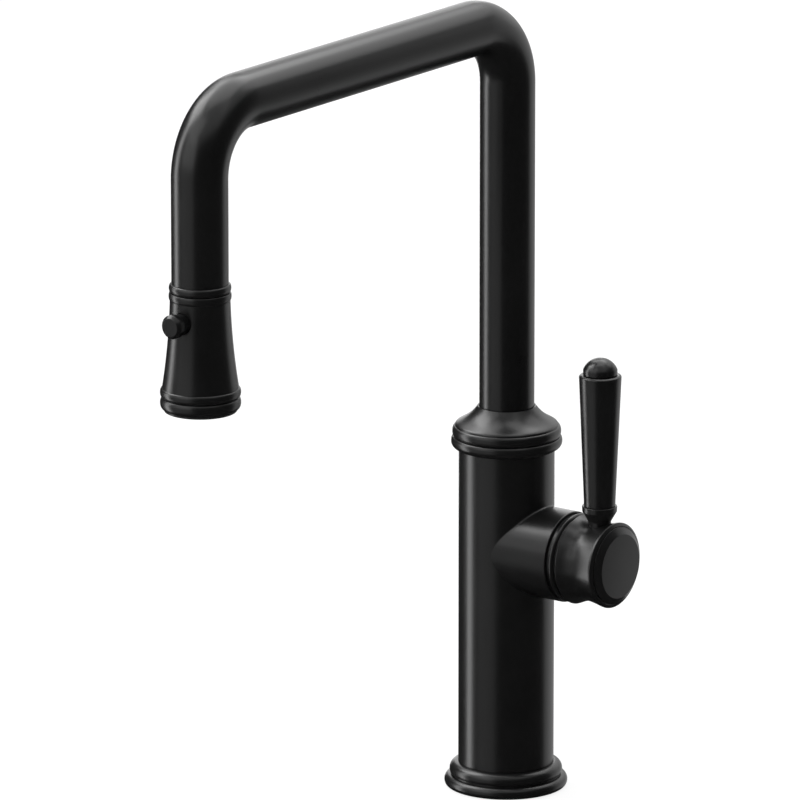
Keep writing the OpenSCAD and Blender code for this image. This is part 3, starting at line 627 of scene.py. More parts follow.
def finish_carried_nodes():
    """Gives every CAD node its finish by the record's material slots."""
    slots = {part["node"]: part["material_slot"] for part in frame["record"]["subparts"]}
    for name, node in frame["nodes"].items():
        node.data.materials.clear()
        node.data.materials.append(FINISHES[slots[name]])


class FAUCET_OT_finishes(FaucetStep, Operator):
    """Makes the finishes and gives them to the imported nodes."""

    bl_idname = "faucet.finishes"
    bl_label = "Finishes"

    def execute(self, context):
        make_finishes(context.scene.faucet_finish)
        finish_carried_nodes()
        return {"FINISHED"}


# ---------------------------------------------------------------- column and base

class ColumnMesh:
    """Mesh of the column with its filleted boss, with the exact normals of its surfaces.

    Each tube has a window, in which rings of quads spread from a round hole to a square border.
    """

    # Quads along a side of the window, the angle and height that the window takes, the rings in it,
    # and the rows of quads below and above it.
    SIDE = 36
    WINDOW = math.radians(86)
    WINDOW_H = 33 * MM
    SPREAD = 10
    ROWS_BELOW = 12
    ROWS_ABOVE = 4

    def __init__(self):
        self.verts = []
        self.normals = []
        self.faces = []

    def add(self, place, normal):
        """Adds a vertex and gives its number."""
        self.verts.append(Vector(place))
        self.normals.append(Vector(normal).normalized())
        return len(self.verts) - 1

    def quad(self, first, second, k, flip):
        """The k-th quad between two closed rows of vertices."""
        n = (k + 1) % len(first)
        corners = (first[k], first[n], second[n], second[k])
        self.faces.append(corners[::-1] if flip else corners)

    def strip(self, first, second, flip=False):
        """Joins two closed rows of vertices with quads."""
        for k in range(len(first)):
            self.quad(first, second, k, flip)

    def on_tube(self, radius, angle, height, sense):
        """A vertex on a tube about Z; sense is 1 on its outside and -1 on its inside."""
        out = Vector((math.cos(angle), math.sin(angle), 0))
        return self.add(out * radius + Vector((0, 0, height)), out * sense)

    def border(self, k):
        """The k-th point of the window's border, as (angle, height from the valve's axis)."""
        side = self.SIDE
        k = (k + side // 2) % (4 * side)
        edge, step = divmod(k, side)
        share = 2 * step / side - 1
        if edge == 0:
            return self.WINDOW, share * self.WINDOW_H
        if edge == 1:
            return -share * self.WINDOW, self.WINDOW_H
        if edge == 2:
            return -self.WINDOW, -share * self.WINDOW_H
        return share * self.WINDOW, -self.WINDOW_H

    def tube_with_window(self, radius, low, high, hole, sense):
        """Makes a tube about Z with a hole through (angle, height) points; gives its three rims."""
        side = self.SIDE
        flip = sense < 0
        sill, head = VALVE_Z - self.WINDOW_H, VALVE_Z + self.WINDOW_H
        angles = [-self.WINDOW] + spaced(-self.WINDOW, self.WINDOW, side)
        angles += spaced(self.WINDOW, FULL_TURN - self.WINDOW, side)[:-1]
        heights = [low] + spaced(low, sill, self.ROWS_BELOW)
        heights += spaced(sill, head, side) + spaced(head, high, self.ROWS_ABOVE)
        rows = [[self.on_tube(radius, a, z, sense) for a in angles] for z in heights]
        for r, (below, above) in enumerate(zip(rows, rows[1:])):
            in_window = self.ROWS_BELOW <= r < self.ROWS_BELOW + side
            for c in range(side if in_window else 0, len(angles)):
                self.quad(below, above, c, flip)
        inner = [self.on_tube(radius, a, VALVE_Z + z, sense) for a, z in hole]
        previous = inner
        for share in spaced(0, 1, self.SPREAD):
            ring = []
            for k, (a, z) in enumerate(hole):
                edge_a, edge_z = self.border(k)
                ring.append(self.on_tube(radius, a + (edge_a - a) * share,
                                         VALVE_Z + z + (edge_z - z) * share, sense))
            self.strip(previous, ring, flip=not flip)
            previous = ring
        return inner, rows[0], rows[-1]

    def finish(self, name):
        """Makes the object, its mesh smooth by the given normals."""
        mesh = bpy.data.meshes.new(name)
        mesh.from_pydata(self.verts, [], self.faces)
        mesh.update()
        for polygon in mesh.polygons:
            polygon.use_smooth = True
        mesh.normals_split_custom_set_from_vertices(self.normals)
        piece = bpy.data.objects.new(name, mesh)
        bpy.context.scene.collection.objects.link(piece)
        return piece


def build_column(sizes):
    """Column tube with its boss, fillet, lip and bores, as one closed wall."""
    model = ColumnMesh()
    boss, fillet = sizes.boss_r, sizes.boss_fillet
    bore, mouth = sizes.boss_bore, sizes.boss_mouth
    wall_r = COLUMN_R - sizes.column_wall
    fillet_steps, edge_steps = 8, 5
    edge = 0.55 * MM
    lip_start = BOSS_LIP - edge
    count = 4 * model.SIDE
    angles = [FULL_TURN * k / count for k in range(count)]

    def around(angle, radius, x):
        return Vector((x, radius * math.cos(angle), VALVE_Z + radius * math.sin(angle)))

    def outward(angle):
        return Vector((0, math.cos(angle), math.sin(angle)))

    centres = []
    for a in angles:
        y = (boss + fillet) * math.cos(a)
        x = math.sqrt((COLUMN_R + fillet) ** 2 - y * y)
        centres.append(Vector((x, y, VALVE_Z + (boss + fillet) * math.sin(a))))
    hole = [(math.atan2(c.y, c.x), c.z - VALVE_Z) for c in centres]
    ring, low_out, high_out = model.tube_with_window(COLUMN_R, COLUMN_FOOT, COLUMN_TOP, hole, 1)

    for share in spaced(0, 1, fillet_steps):
        row = []
        for a, centre in zip(angles, centres):
            to_column = -Vector((centre.x, centre.y, 0)).normalized()
            spoke = to_column.slerp(-outward(a), share)
            row.append(model.add(centre + spoke * fillet, -spoke))
        model.strip(ring, row)
        ring = row

    for share in (0.5, 1.0):
        row = [model.add(around(a, boss, c.x + (lip_start - c.x) * share), outward(a))
               for a, c in zip(angles, centres)]
        model.strip(ring, row)
        ring = row
    for bend in spaced(0, QUARTER, edge_steps):
        row = []
        for a in angles:
            normal = outward(a) * math.cos(bend) + ALONG_X * math.sin(bend)
            row.append(model.add(around(a, boss - edge, lip_start) + normal * edge, normal))
        model.strip(ring, row)
        ring = row

    def forward(angle):
        return ALONG_X

    def inward(angle):
        return -outward(angle)

    def ring_at(radius, x, normal_of):
        return [model.add(around(a, radius, x), normal_of(a)) for a in angles]

    shoulder = low_corner("cartridge_nut").x
    stepped_mouth = [
        (boss - edge, BOSS_LIP, mouth, BOSS_LIP, forward),
        (mouth, BOSS_LIP, mouth, shoulder, inward),
        (mouth, shoulder, bore, shoulder, forward),
    ]
    for outer_r, outer_x, inner_r, inner_x, normal_of in stepped_mouth:
        model.strip(ring_at(outer_r, outer_x, normal_of), ring_at(inner_r, inner_x, normal_of))
    bore_mouth = ring_at(bore, shoulder, inward)
    root_x = [math.sqrt(wall_r ** 2 - (bore * math.cos(a)) ** 2) for a in angles]
    bore_root = [model.add(around(a, bore, x), -outward(a)) for a, x in zip(angles, root_x)]
    model.strip(bore_mouth, bore_root)
    inner_hole = [(math.atan2(bore * math.cos(a), x), bore * math.sin(a)) for a, x in zip(angles, root_x)]
    _, low_in, high_in = model.tube_with_window(wall_r, COLUMN_FOOT, COLUMN_TOP, inner_hole, -1)

    def end_ring(outer, inner, normal, flip):
        first = [model.add(model.verts[i], normal) for i in outer]
        second = [model.add(model.verts[i], normal) for i in inner]
        model.strip(first, second, flip=flip)

    end_ring(high_out, high_in, (0, 0, 1), False)
    end_ring(low_out, low_in, (0, 0, -1), True)
    assign(model.finish("body_shell"), "matte_black", "base", "column", "valve_boss")


class FAUCET_OT_column(FaucetStep, Operator):
    """Builds the column with its filleted boss."""

    bl_idname = "faucet.column"
    bl_label = "Column"

    def execute(self, context):
        build_column(context.scene.faucet_sizes)
        return {"FINISHED"}


def build_flange(sizes):
    """Base flange: a proud lower bead, a groove, and a softer upper bead round the column."""
    low, up, groove = sizes.flange_low_crest, sizes.flange_up_crest, sizes.flange_groove
    low_top = sizes.flange_low_top
    low_z, up_z = 2.3 * MM, low_top + 2.4 * MM
    foot_inset, groove_h = 1.4 * MM, 0.6 * MM
    hole = half_size("shank", 0) - 3 * MM
    wall = COLUMN_R + CLEARANCE
    outline = [(hole, 0)]
    outline += quarter((low - foot_inset, 0), (low, low_z))
    outline += quarter((low, low_z), (groove, low_top), upward=True)[1:]
    outline += quarter((groove, low_top + groove_h), (up, up_z))
    outline += quarter((up, up_z), (wall, FLANGE_TOP), upward=True)[1:]
    outline += [(wall, COLUMN_FOOT), (hole, COLUMN_FOOT)]
    coated(turned("flange", outline, UPRIGHT, (0, 0, 0), closed=True), "base", "base_flange")


class FAUCET_OT_flange(FaucetStep, Operator):
    """Turns the base flange."""

    bl_idname = "faucet.flange"
    bl_label = "Base flange"

    def execute(self, context):
        build_flange(context.scene.faucet_sizes)
        return {"FINISHED"}


def build_shank(sizes):
    """Shank: a ridged thread under the worktop, and a seat in the column's foot."""
    crest, bore, pitch = sizes.shank_r, sizes.shank_bore, sizes.thread_pitch
    foot, top = low_corner("shank").z, high_corner("shank").z
    seat_r = half_size("shank", 0)
    root = crest - 0.7 * MM
    chamfer, chamfer_h = 0.2 * MM, 0.8 * MM
    start = foot + chamfer_h
    ridge = [(crest, 0.42), (crest, 0.58), (root, 0.92), (root, 1.0)]
    outline = [(bore, foot), (root - chamfer, foot), (root, start)]
    for k in range(int((THREAD_TOP - start) / pitch)):
        outline += [(across, start + (k + share) * pitch) for across, share in ridge]
    outline += [(crest, THREAD_TOP + pitch), (crest, COLUMN_FOOT), (seat_r, COLUMN_FOOT)]
    outline += [(seat_r, top), (bore, top)]
    piece = turned("threaded_shank", outline, UPRIGHT, (0, 0, 0), closed=True)
    dress(piece, "brass", "base", "shank")


class FAUCET_OT_shank(FaucetStep, Operator):
    """Turns the threaded shank."""

    bl_idname = "faucet.shank"
    bl_label = "Shank"

    def execute(self, context):
        build_shank(context.scene.faucet_sizes)
        return {"FINISHED"}


def build_collar(sizes):
    """Collar: two beads, a fine groove, and an ogee that rises to a thin rim round the spout."""
    low, up = sizes.collar_low_crest, sizes.collar_up_crest
    foot = COLUMN_TOP
    mid = foot + sizes.collar_low_h
    top = mid + sizes.collar_up_h
    low_z, up_z = foot + 3.2 * MM, mid + 2.4 * MM
    foot_inset, notch = 2.9 * MM, 0.1 * MM
    groove = low - 1.15 * MM
    ogee = up - 1.25 * MM
    rim = TUBE_R + 0.75 * MM
    inner, inner_foot = TUBE_R + 0.2 * MM, TUBE_FOOT + 1 * MM
    skirt_foot = foot - 8 * MM
    skirt = COLUMN_R - sizes.column_wall - 2 * CLEARANCE
    skirt_in = half_size("swivel_bush", 0) + 2 * CLEARANCE
    outline = [(skirt_in, skirt_foot), (skirt, skirt_foot), (skirt, foot)]
    outline += quarter((low - foot_inset, foot), (low, low_z))
    outline += quarter((low, low_z), (groove, mid), upward=True)[1:]
    outline += quarter((groove - 3 * notch, mid + notch), (up, up_z))
    outline += quarter((up, up_z), (ogee - notch, top), upward=True)[1:]
    outline += [(ogee, top + 0.6 * notch)]
    outline += cubic((ogee, top + notch), (ogee, top + 2.2 * MM),
                     (rim + 5.07 * MM, COLLAR_TOP - 7.4 * MM), (rim, COLLAR_TOP), 24)
    outline += [(inner, COLLAR_TOP), (inner, inner_foot), (skirt_in, inner_foot)]
    coated(turned("collar_cover", outline, UPRIGHT, (0, 0, 0), closed=True), "base", "collar")


class FAUCET_OT_collar(FaucetStep, Operator):
    """Turns the collar."""

    bl_idname = "faucet.collar"
    bl_label = "Collar"

    def execute(self, context):
        build_collar(context.scene.faucet_sizes)
        return {"FINISHED"}


# ---------------------------------------------------------------- spout

def build_spout(sizes):
    """Spout tube: a ring extruded up, spun through a bend, out, through a bend and down."""
    sides, bend_steps = 96, 28
    bend = sizes.bend_r
    bend_z = TUBE_TOP - TUBE_R - bend
    first_turn = Vector((0, -bend, bend_z))
    second_turn = Vector((0, OUTLET_Y + bend, bend_z))
    piece = start_primitive("spout", bpy.ops.mesh.primitive_circle_add,
                            vertices=sides, radius=TUBE_R, fill_type="NOTHING")
    bpy.ops.transform.translate(value=(0, 0, TUBE_FOOT))
    extrude_by((0, 0, bend_z - TUBE_FOOT))
    bpy.ops.mesh.spin(steps=bend_steps, angle=QUARTER, center=first_turn, axis=-ALONG_X)
    extrude_by((0, second_turn.y - first_turn.y, 0))
    bpy.ops.mesh.spin(steps=bend_steps, angle=QUARTER, center=second_turn, axis=-ALONG_X)
    extrude_by((0, 0, FERRULE_LIP - bend_z))
    weld_and_face_out()
    leave_edit_mode()
    apply_modifier(piece, "SOLIDIFY", thickness=sizes.tube_wall, offset=-1.0)
    coated(piece, "spout", "spout_tube")


class FAUCET_OT_spout(FaucetStep, Operator):
    """Bends the spout tube."""

    bl_idname = "faucet.spout"
    bl_label = "Spout"

    def execute(self, context):
        build_spout(context.scene.faucet_sizes)
        return {"FINISHED"}


def build_ferrule():
    """Beaded ferrule on the spout's end."""
    crest, draw = half_size("outlet_ferrule", 0), 0.95 * MM
    bore = half_size("docking_socket", 0) + CLEARANCE
    tube = TUBE_R + HAIR
    outline = [(bore, FERRULE_FOOT)] + bead(crest, FERRULE_FOOT, TUBE_END, draw)
    outline += [(tube, TUBE_END), (tube, FERRULE_LIP), (bore, FERRULE_LIP)]
    coated(turned("ferrule", outline, UPRIGHT, (0, OUTLET_Y, 0), closed=True), "spout", "outlet_ferrule")


class FAUCET_OT_ferrule(FaucetStep, Operator):
    """Turns the ferrule on the spout's end."""

    bl_idname = "faucet.ferrule"
    bl_label = "Ferrule"

    def execute(self, context):
        build_ferrule()
        return {"FINISHED"}


# ---------------------------------------------------------------- spray head

def build_head(sizes):
    """Spray head: a top bead, a long flare, two mouth beads and the button's hole."""
    waist, neck, mouth = sizes.head_waist, sizes.head_neck, sizes.mouth_bead
    lip_r, lip_z = mouth - 1.2 * MM, HEAD_FOOT + 0.4 * MM
    low_top = HEAD_FOOT + 5.7 * MM
    flare_foot = low_top + 4.1 * MM
    flare_top = HEAD_TOP - 3.5 * MM
    rise = (flare_top - flare_foot) / 3
    low_draw, up_draw, top_draw = 1.35 * MM, 0.98 * MM, 0.55 * MM
    bead_steps, flare_steps = 14, 40
    seat, seat_z = half_size("spray_face", 0) - 1.2 * MM, flare_foot + 4 * MM
    bore, bore_z = 10.8 * MM, flare_foot + 26 * MM
    plug, plug_z = half_size("keeper_ring", 0) + 2 * CLEARANCE, HEAD_TOP - 3.3 * MM
    outline = rounded([(seat, HEAD_FOOT, 0), (lip_r - 0.1 * MM, HEAD_FOOT, 0.3 * MM), (lip_r, lip_z, 0)])
    outline += bead(mouth, lip_z, low_top, low_draw, bead_steps)
    outline += [(mouth - 1.05 * MM, low_top + HAIR)]
    outline += bead(mouth, low_top + 2 * HAIR, flare_foot, up_draw, bead_steps)
    outline += cubic((neck, flare_foot + HAIR), (neck - 2.1 * MM, flare_foot + rise),
                     (waist + 0.35 * MM, flare_top - rise), (waist, flare_top), flare_steps)
    outline += bead(sizes.head_bead, flare_top + HAIR, HEAD_TOP, top_draw, bead_steps)
    outline += [(plug, HEAD_TOP), (plug, plug_z), (bore, plug_z), (bore, bore_z), (seat, seat_z)]
    piece = turned("spray_shell", outline, UPRIGHT, (0, OUTLET_Y, 0), closed=True)
    drill(piece, BUTTON_R - 0.5 * MM, (0, OUTLET_Y, BUTTON_Z), -ALONG_Y, 30 * MM)
    coated(piece, "spray_head", "head_shell")


class FAUCET_OT_head(FaucetStep, Operator):
    """Turns the spray head and drills it for the button."""

    bl_idname = "faucet.head"
    bl_label = "Spray head"

    def execute(self, context):
        build_head(context.scene.faucet_sizes)
        return {"FINISHED"}


def build_button():
    """Push button: a flat round face with a soft chamfer, on a slimmer neck."""
    back = OUTLET_Y - high_corner("button_cap").y
    flat = BUTTON_R - 1.25 * MM
    disc_back = BUTTON_FACE - 4.2 * MM
    neck = BUTTON_R - 0.75 * MM
    outline = rounded([
        (0, back, 0),
        (neck, back, 0.3 * MM),
        (neck, disc_back, 0.15 * MM),
        (BUTTON_R, disc_back, 0.4 * MM),
        (BUTTON_R, BUTTON_FACE - 1.5 * MM, 0.5 * MM),
        (flat, BUTTON_FACE, 0.35 * MM),
        (0, BUTTON_FACE, 0),
    ])
    coated(turned("button_face", outline, FORWARD, (0, OUTLET_Y, BUTTON_Z)), "button", "button_cap")


class FAUCET_OT_button(FaucetStep, Operator):
    """Turns the push button."""

    bl_idname = "faucet.button"
    bl_label = "Button"

    def execute(self, context):
        build_button()
        return {"FINISHED"}


def build_mouth():
    """Spray face: a dished plate with a rounded rim, and soft nozzles standing in the dish."""
    low, back = low_corner("spray_face").z, high_corner("spray_face").z
    outer = half_size("spray_face", 0)
    hole = half_size("aerator", 0) + 2 * CLEARANCE
    dish = low + 1.2 * MM
    rim, skirt = outer - 1.1 * MM, outer - 1.4 * MM
    rim_z = HEAD_FOOT - 0.1 * MM
    chamfer, rim_steps = 0.2 * MM, 8
    outline = [(hole, dish + chamfer), (hole + chamfer, dish), (outer - 2.5 * MM, dish)]
    outline += cubic((outer - 2.3 * MM, dish - 0.1 * MM), (outer - 1.9 * MM, low),
                     (outer - 1.7 * MM, low), (rim, low), rim_steps)
    outline += cubic((rim, low), (outer - 0.3 * MM, low),
                     (outer, low + 0.2 * MM), (outer, rim_z), rim_steps)[1:]
    outline += [(skirt, rim_z), (skirt, back), (hole, back)]
    plate = turned("mouth_face", outline, UPRIGHT, (0, OUTLET_Y, 0), closed=True)
    dress(plate, "grey_plastic", "spray_head", "spray_face")
    tip = low + 0.15 * MM
    dress(nozzle_field(tip, dish), "rubber", "spray_head", "nozzle_pad")


def nozzle_field(tip, dish):
    """Rings of rubber nozzles: one is turned and copied round the spray face."""
    across, bore, sides = 0.85 * MM, 0.42 * MM, 20
    root = dish + 0.6 * MM
    outline = rounded([(bore, root, 0), (bore, tip, 0.08 * MM), (across - 0.2 * MM, tip, 0.15 * MM),
                       (across, dish - 0.25 * MM, 0.2 * MM), (across + 0.3 * MM, dish, 0), (across, root, 0)],
                      closed=True)
    nozzle = turned("nozzles", outline, UPRIGHT, (0, 0, 0), closed=True, steps=sides)
    for radius, count in NOZZLE_RINGS:
        for k in range(count):
            angle = FULL_TURN * k / count
            place = (radius * math.cos(angle), OUTLET_Y + radius * math.sin(angle), 0)
            copy = nozzle.copy()
            copy.data = nozzle.data.copy()
            copy.data.transform(Matrix.Translation(place))
            bpy.context.scene.collection.objects.link(copy)
            copy.select_set(True)
            bpy.context.view_layer.objects.active = copy
    bpy.data.objects.remove(nozzle)
    bpy.ops.object.join()
    field = bpy.context.active_object
    field.name = field.data.name = "nozzles"
    return field


class FAUCET_OT_mouth(FaucetStep, Operator):
    """Turns the spray face and sets its nozzles."""

    bl_idname = "faucet.mouth"
    bl_label = "Spray face"

    def execute(self, context):
        build_mouth()
        return {"FINISHED"}


# ---------------------------------------------------------------- handle

def ball_r(radius, x):
    """Radius at x of a sphere about the lever's pivot."""
    return math.sqrt(radius ** 2 - (x - PIVOT_X) ** 2)


def on_sphere(radius, begin, finish, steps=16):
    """Points (radius, x) on a sphere about the lever's pivot, from one x to another."""
    begin, finish = (math.degrees(math.acos((x - PIVOT_X) / radius)) for x in (begin, finish))
    return [Vector((point.y, point.x)) for point in arc((PIVOT_X, 0), radius, begin, finish, steps)]


def build_dome():
    """Dome ring: a crowned band with a groove on each side, on a dome that the hub tilts over."""
    foot, end = low_corner("dome_ring").x, high_corner("dome_ring").x
    groove_r = DOME_SPHERE_R - 0.9 * MM
    inner_r = groove_r - 0.8 * MM
    floor, opening = foot + 1.2 * MM, 13.0 * MM
    band_low, band_high = foot + 1.25 * MM, foot + 3.15 * MM
    band_steps, crown_drop = 12, 0.55 * MM
    neck = ball_r(groove_r, band_low) - 0.2 * MM
    skirt_x = BOSS_LIP + HAIR
    skirt_in = half_size("cartridge_nut", 1) + 2 * CLEARANCE
    outline = [(opening, foot), (skirt_in, foot), (skirt_in, skirt_x), (neck, skirt_x), (neck, band_low)]
    for share in [-1] + spaced(-1, 1, band_steps):
        x = (band_low + band_high + share * (band_high - band_low)) / 2
        outline.append((ball_r(DOME_SPHERE_R - crown_drop * share ** 2, x), x))
    outline += on_sphere(groove_r, band_high, end)
    outline += [point for point in on_sphere(inner_r, end, floor) if point.x > opening]
    outline += [(opening, floor)]
    coated(turned("dome_band", outline, SIDEWAYS, (0, 0, VALVE_Z), closed=True), "base", "dome_ring")


class FAUCET_OT_dome(FaucetStep, Operator):
    """Turns the dome ring."""

    bl_idname = "faucet.dome"
    bl_label = "Dome ring"

    def execute(self, context):
        build_dome()
        return {"FINISHED"}


def build_hub(sizes):
    """Hub: a waisted turning, hollowed to a sphere over the dome ring."""
    rim, waist, cap = sizes.hub_rim, sizes.hub_waist, sizes.cap_r - 0.1 * MM
    sphere_r = DOME_SPHERE_R + 0.35 * MM
    rim_x = low_corner("handle_hub").x
    rim_in = ball_r(sphere_r, rim_x)
    edge, side_steps = 0.5 * MM, 24
    side_x = rim_x + edge
    waist_x = CAP_SEAT - 9.0 * MM
    outline = [(rim_in, rim_x), (rim - edge, rim_x), (rim - 0.3 * edge, rim_x + 0.3 * edge)]
    outline += cubic((rim, side_x), (rim - 1.2 * MM, side_x + 2.8 * MM),
                     (waist, waist_x - 3.0 * MM), (waist, waist_x), side_steps)
    outline += cubic((waist, waist_x), (waist, waist_x + 2.4 * MM),
                     (cap - 0.75 * MM, CAP_SEAT - 3.2 * MM), (cap, CAP_SEAT), side_steps)[1:]
    outline += [(0, CAP_SEAT)]
    outline += on_sphere(sphere_r, PIVOT_X + sphere_r, rim_x, side_steps)[:-1]
    coated(turned("hub", outline + [outline[0]], SIDEWAYS, (0, 0, VALVE_Z)), "handle", "handle_hub")


class FAUCET_OT_hub(FaucetStep, Operator):
    """Turns the lever's hub."""

    bl_idname = "faucet.hub"
    bl_label = "Hub"

    def execute(self, context):
        build_hub(context.scene.faucet_sizes)
        return {"FINISHED"}


def build_cap(sizes):
    """Cap: a rounded rim, a raised line, a chamfer and a flat face."""
    seat = CAP_SEAT + HAIR
    rim_r, rim_x = sizes.cap_r - 0.1 * MM, CAP_SEAT + 1.2 * MM
    line_r, line_x = sizes.cap_r - 1.85 * MM, CAP_SEAT + 2.3 * MM
    groove_x = line_x - 0.4 * MM
    outline = rounded([
        (0, seat, 0),
        (rim_r, seat, 0.03 * MM),
        (rim_r + 0.18 * MM, rim_x, 0.5 * MM),
        (line_r + 0.4 * MM, line_x - 0.15 * MM, 0.1 * MM),
        (line_r + 0.25 * MM, groove_x, 0.05 * MM),
        (line_r - 0.1 * MM, groove_x, 0.05 * MM),
        (line_r + 0.02 * MM, line_x + 0.15 * MM, 0.15 * MM),
        (line_r - 0.35 * MM, line_x + 0.3 * MM, 0.1 * MM),
        (sizes.cap_face_r, CAP_FACE, 0.3 * MM),
        (0, CAP_FACE, 0),
    ])
    coated(turned("cap", outline, SIDEWAYS, (0, 0, VALVE_Z)), "handle", "hub_cap")


class FAUCET_OT_cap(FaucetStep, Operator):
    """Turns the hub's cap."""

    bl_idname = "faucet.cap"
    bl_label = "Cap"

    def execute(self, context):
        build_cap(context.scene.faucet_sizes)
        return {"FINISHED"}


def build_neck(sizes):
    """Neck, cone and band between the hub and the grip."""
    foot, top = VALVE_Z + sizes.hub_waist - 2.0 * MM, GRIP_FOOT - CLEARANCE
    band = GRIP_FOOT - 2.5 * MM
    cone = band - 4.8 * MM
    outline = rounded([
        (0, foot, 0),
        (sizes.neck_r, foot, 0),
        (sizes.neck_r, cone, 0.5 * MM),
        (sizes.band_r - 0.1 * MM, band - 0.1 * MM, 0.3 * MM),
        (sizes.band_r, top, 0.35 * MM),
        (sizes.grip_foot_r - 1 * MM, top, 0),
        (0, top, 0),
    ])
    coated(turned("neck", outline, UPRIGHT, (LEVER_X, 0, 0)), "handle", "lever_neck")


class FAUCET_OT_neck(FaucetStep, Operator):
    """Turns the lever's neck."""

    bl_idname = "faucet.neck"
    bl_label = "Neck"

    def execute(self, context):
        build_neck(context.scene.faucet_sizes)
        return {"FINISHED"}


def build_grip(sizes):
    """Grip: a slender taper with a rounded head."""
    foot_r, head_r = sizes.grip_foot_r, sizes.grip_head_r
    outline = rounded([
        (0, GRIP_FOOT, 0),
        (foot_r, GRIP_FOOT, 0.25 * MM),
        (foot_r + 0.05 * MM, GRIP_FOOT + 3 * MM, 6 * MM),
        (head_r, GRIP_TOP - 0.6 * MM, 0.9 * MM),
        (head_r - 1.0 * MM, GRIP_TOP, 0.5 * MM),
        (sizes.finial_r - 0.3 * MM, GRIP_TOP, 0.1 * MM),
        (0, GRIP_TOP, 0),
    ])
    coated(turned("grip", outline, UPRIGHT, (LEVER_X, 0, 0)), "handle", "lever_grip")


class FAUCET_OT_grip(FaucetStep, Operator):
    """Turns the lever's grip."""

    bl_idname = "faucet.grip"
    bl_label = "Grip"

    def execute(self, context):
        build_grip(context.scene.faucet_sizes)
        return {"FINISHED"}


def build_finial(sizes):
    """Finial: a short straight side under a dome."""
    radius, foot = sizes.finial_r, GRIP_TOP + CLEARANCE
    shoulder, dome_steps = foot + 2.4 * MM, 16
    rise = FINIAL_TOP - shoulder
    dome_r = (radius ** 2 + rise ** 2) / (2 * rise)
    start = math.degrees(math.acos(radius / dome_r))
    outline = rounded([(0, foot, 0), (radius - 0.25 * MM, foot, 0.1 * MM),
                       (radius, foot + 0.3 * MM, 0.2 * MM), (radius, shoulder, 0)])
    outline += arc((0, FINIAL_TOP - dome_r), dome_r, start, 90, dome_steps)[1:]
    coated(turned("finial", outline, UPRIGHT, (LEVER_X, 0, 0)), "handle", "lever_finial")


class FAUCET_OT_finial(FaucetStep, Operator):
    """Turns the lever's finial."""

    bl_idname = "faucet.finial"
    bl_label = "Finial"

    def execute(self, context):
        build_finial(context.scene.faucet_sizes)
        return {"FINISHED"}


# ---------------------------------------------------------------- studio

def look_direction(studio):
    """Direction that the camera looks in."""
    a, e = studio.azimuth, studio.elevation
    return Vector((-math.sin(a) * math.cos(e), math.cos(a) * math.cos(e), -math.sin(e)))


def camera_aim(studio):
    """Point that the camera aims at, to the left of the column."""
    right = Vector((math.cos(studio.azimuth), math.sin(studio.azimuth), 0))
    return ALONG_Z * studio.aim_height - right * studio.aim_left


def ray_kinds(recipe):
    """Masks for rays that come straight or through glass from the eye, and for mirrored rays."""
    rays = recipe.node("ShaderNodeLightPath").outputs
    seen = Value(recipe, rays["Is Camera Ray"]) + Value(recipe, rays["Is Transmission Ray"])
    return seen, Value(recipe, rays["Is Glossy Ray"])


def make_camera(studio):
    """Camera in front of the spout and above it, on a long lens."""
    look = look_direction(studio)
    data = bpy.data.cameras.new("camera")
    data.lens = studio.focal
    data.sensor_width = 36.0
    data.clip_end = 100.0
    camera = bpy.data.objects.new("camera", data)
    bpy.context.scene.collection.objects.link(camera)
    camera.location = camera_aim(studio) - look * (studio.distance / math.cos(studio.elevation))
    camera.rotation_euler = look.to_track_quat("-Z", "Y").to_euler()
    bpy.context.scene.camera = camera


def panel_lamp(studio, name, around, distance, height, width, tall, level, aim_height):
    """Soft lamp, round from the camera by an angle in degrees; at level 1 its face is white."""
    angle = studio.azimuth + math.radians(around)
    data = bpy.data.lights.new(name, "AREA")
    data.shape = "RECTANGLE"
    data.size = width
    data.size_y = tall
    data.energy = math.pi * width * tall * level
    lamp = bpy.data.objects.new(name, data)
    bpy.context.scene.collection.objects.link(lamp)
    lamp.location = (math.sin(angle) * distance, -math.cos(angle) * distance, height)
    aim = ALONG_Z * aim_height - lamp.location
    lamp.rotation_euler = aim.to_track_quat("-Z", "Y").to_euler()
    lamp.visible_camera = False


def make_floor(studio):
    """Plain white floor that keeps the faucet's shadow and stays out of reflections."""
    floor = start_primitive("floor", bpy.ops.mesh.primitive_plane_add, size=studio.floor)
    bpy.ops.mesh.subdivide(number_cuts=3)
    bpy.ops.transform.translate(value=(0, 0, FLOOR_Z))
    leave_edit_mode()
    material = bpy.data.materials.new("pale_floor")
    recipe = Recipe(material)
    seen, _ = ray_kinds(recipe)
    lit = recipe.value("ShaderNodeBsdfDiffuse", "BSDF", None, {"Color": scaled(WHITE[:3], 0.9)})
    glow = recipe.value("ShaderNodeEmission", "Emission", None, {"Color": WHITE, "Strength": 1.0})
    mix = recipe.value("ShaderNodeMixShader", "Shader", None, {0: seen * studio.floor_glow, 1: lit, 2: glow})
    recipe.node("ShaderNodeOutputMaterial", None, {"Surface": mix})
    floor.data.materials.append(material)
    floor.visible_glossy = False
    floor.visible_shadow = False


def make_world(studio):
    """White backdrop to the eye, dim in reflections, and an even light all round."""
    world = bpy.data.worlds.new("studio")
    bpy.context.scene.world = world
    recipe = Recipe(world)
    seen, mirrored = ray_kinds(recipe)
    even = mirrored * studio.mirror_level + (1 - mirrored) * studio.world_level
    strength = seen + (1 - seen) * even
    back = recipe.value("ShaderNodeBackground", "Background", None, {"Color": WHITE, "Strength": strength})
    recipe.node("ShaderNodeOutputWorld", None, {"Surface": back})


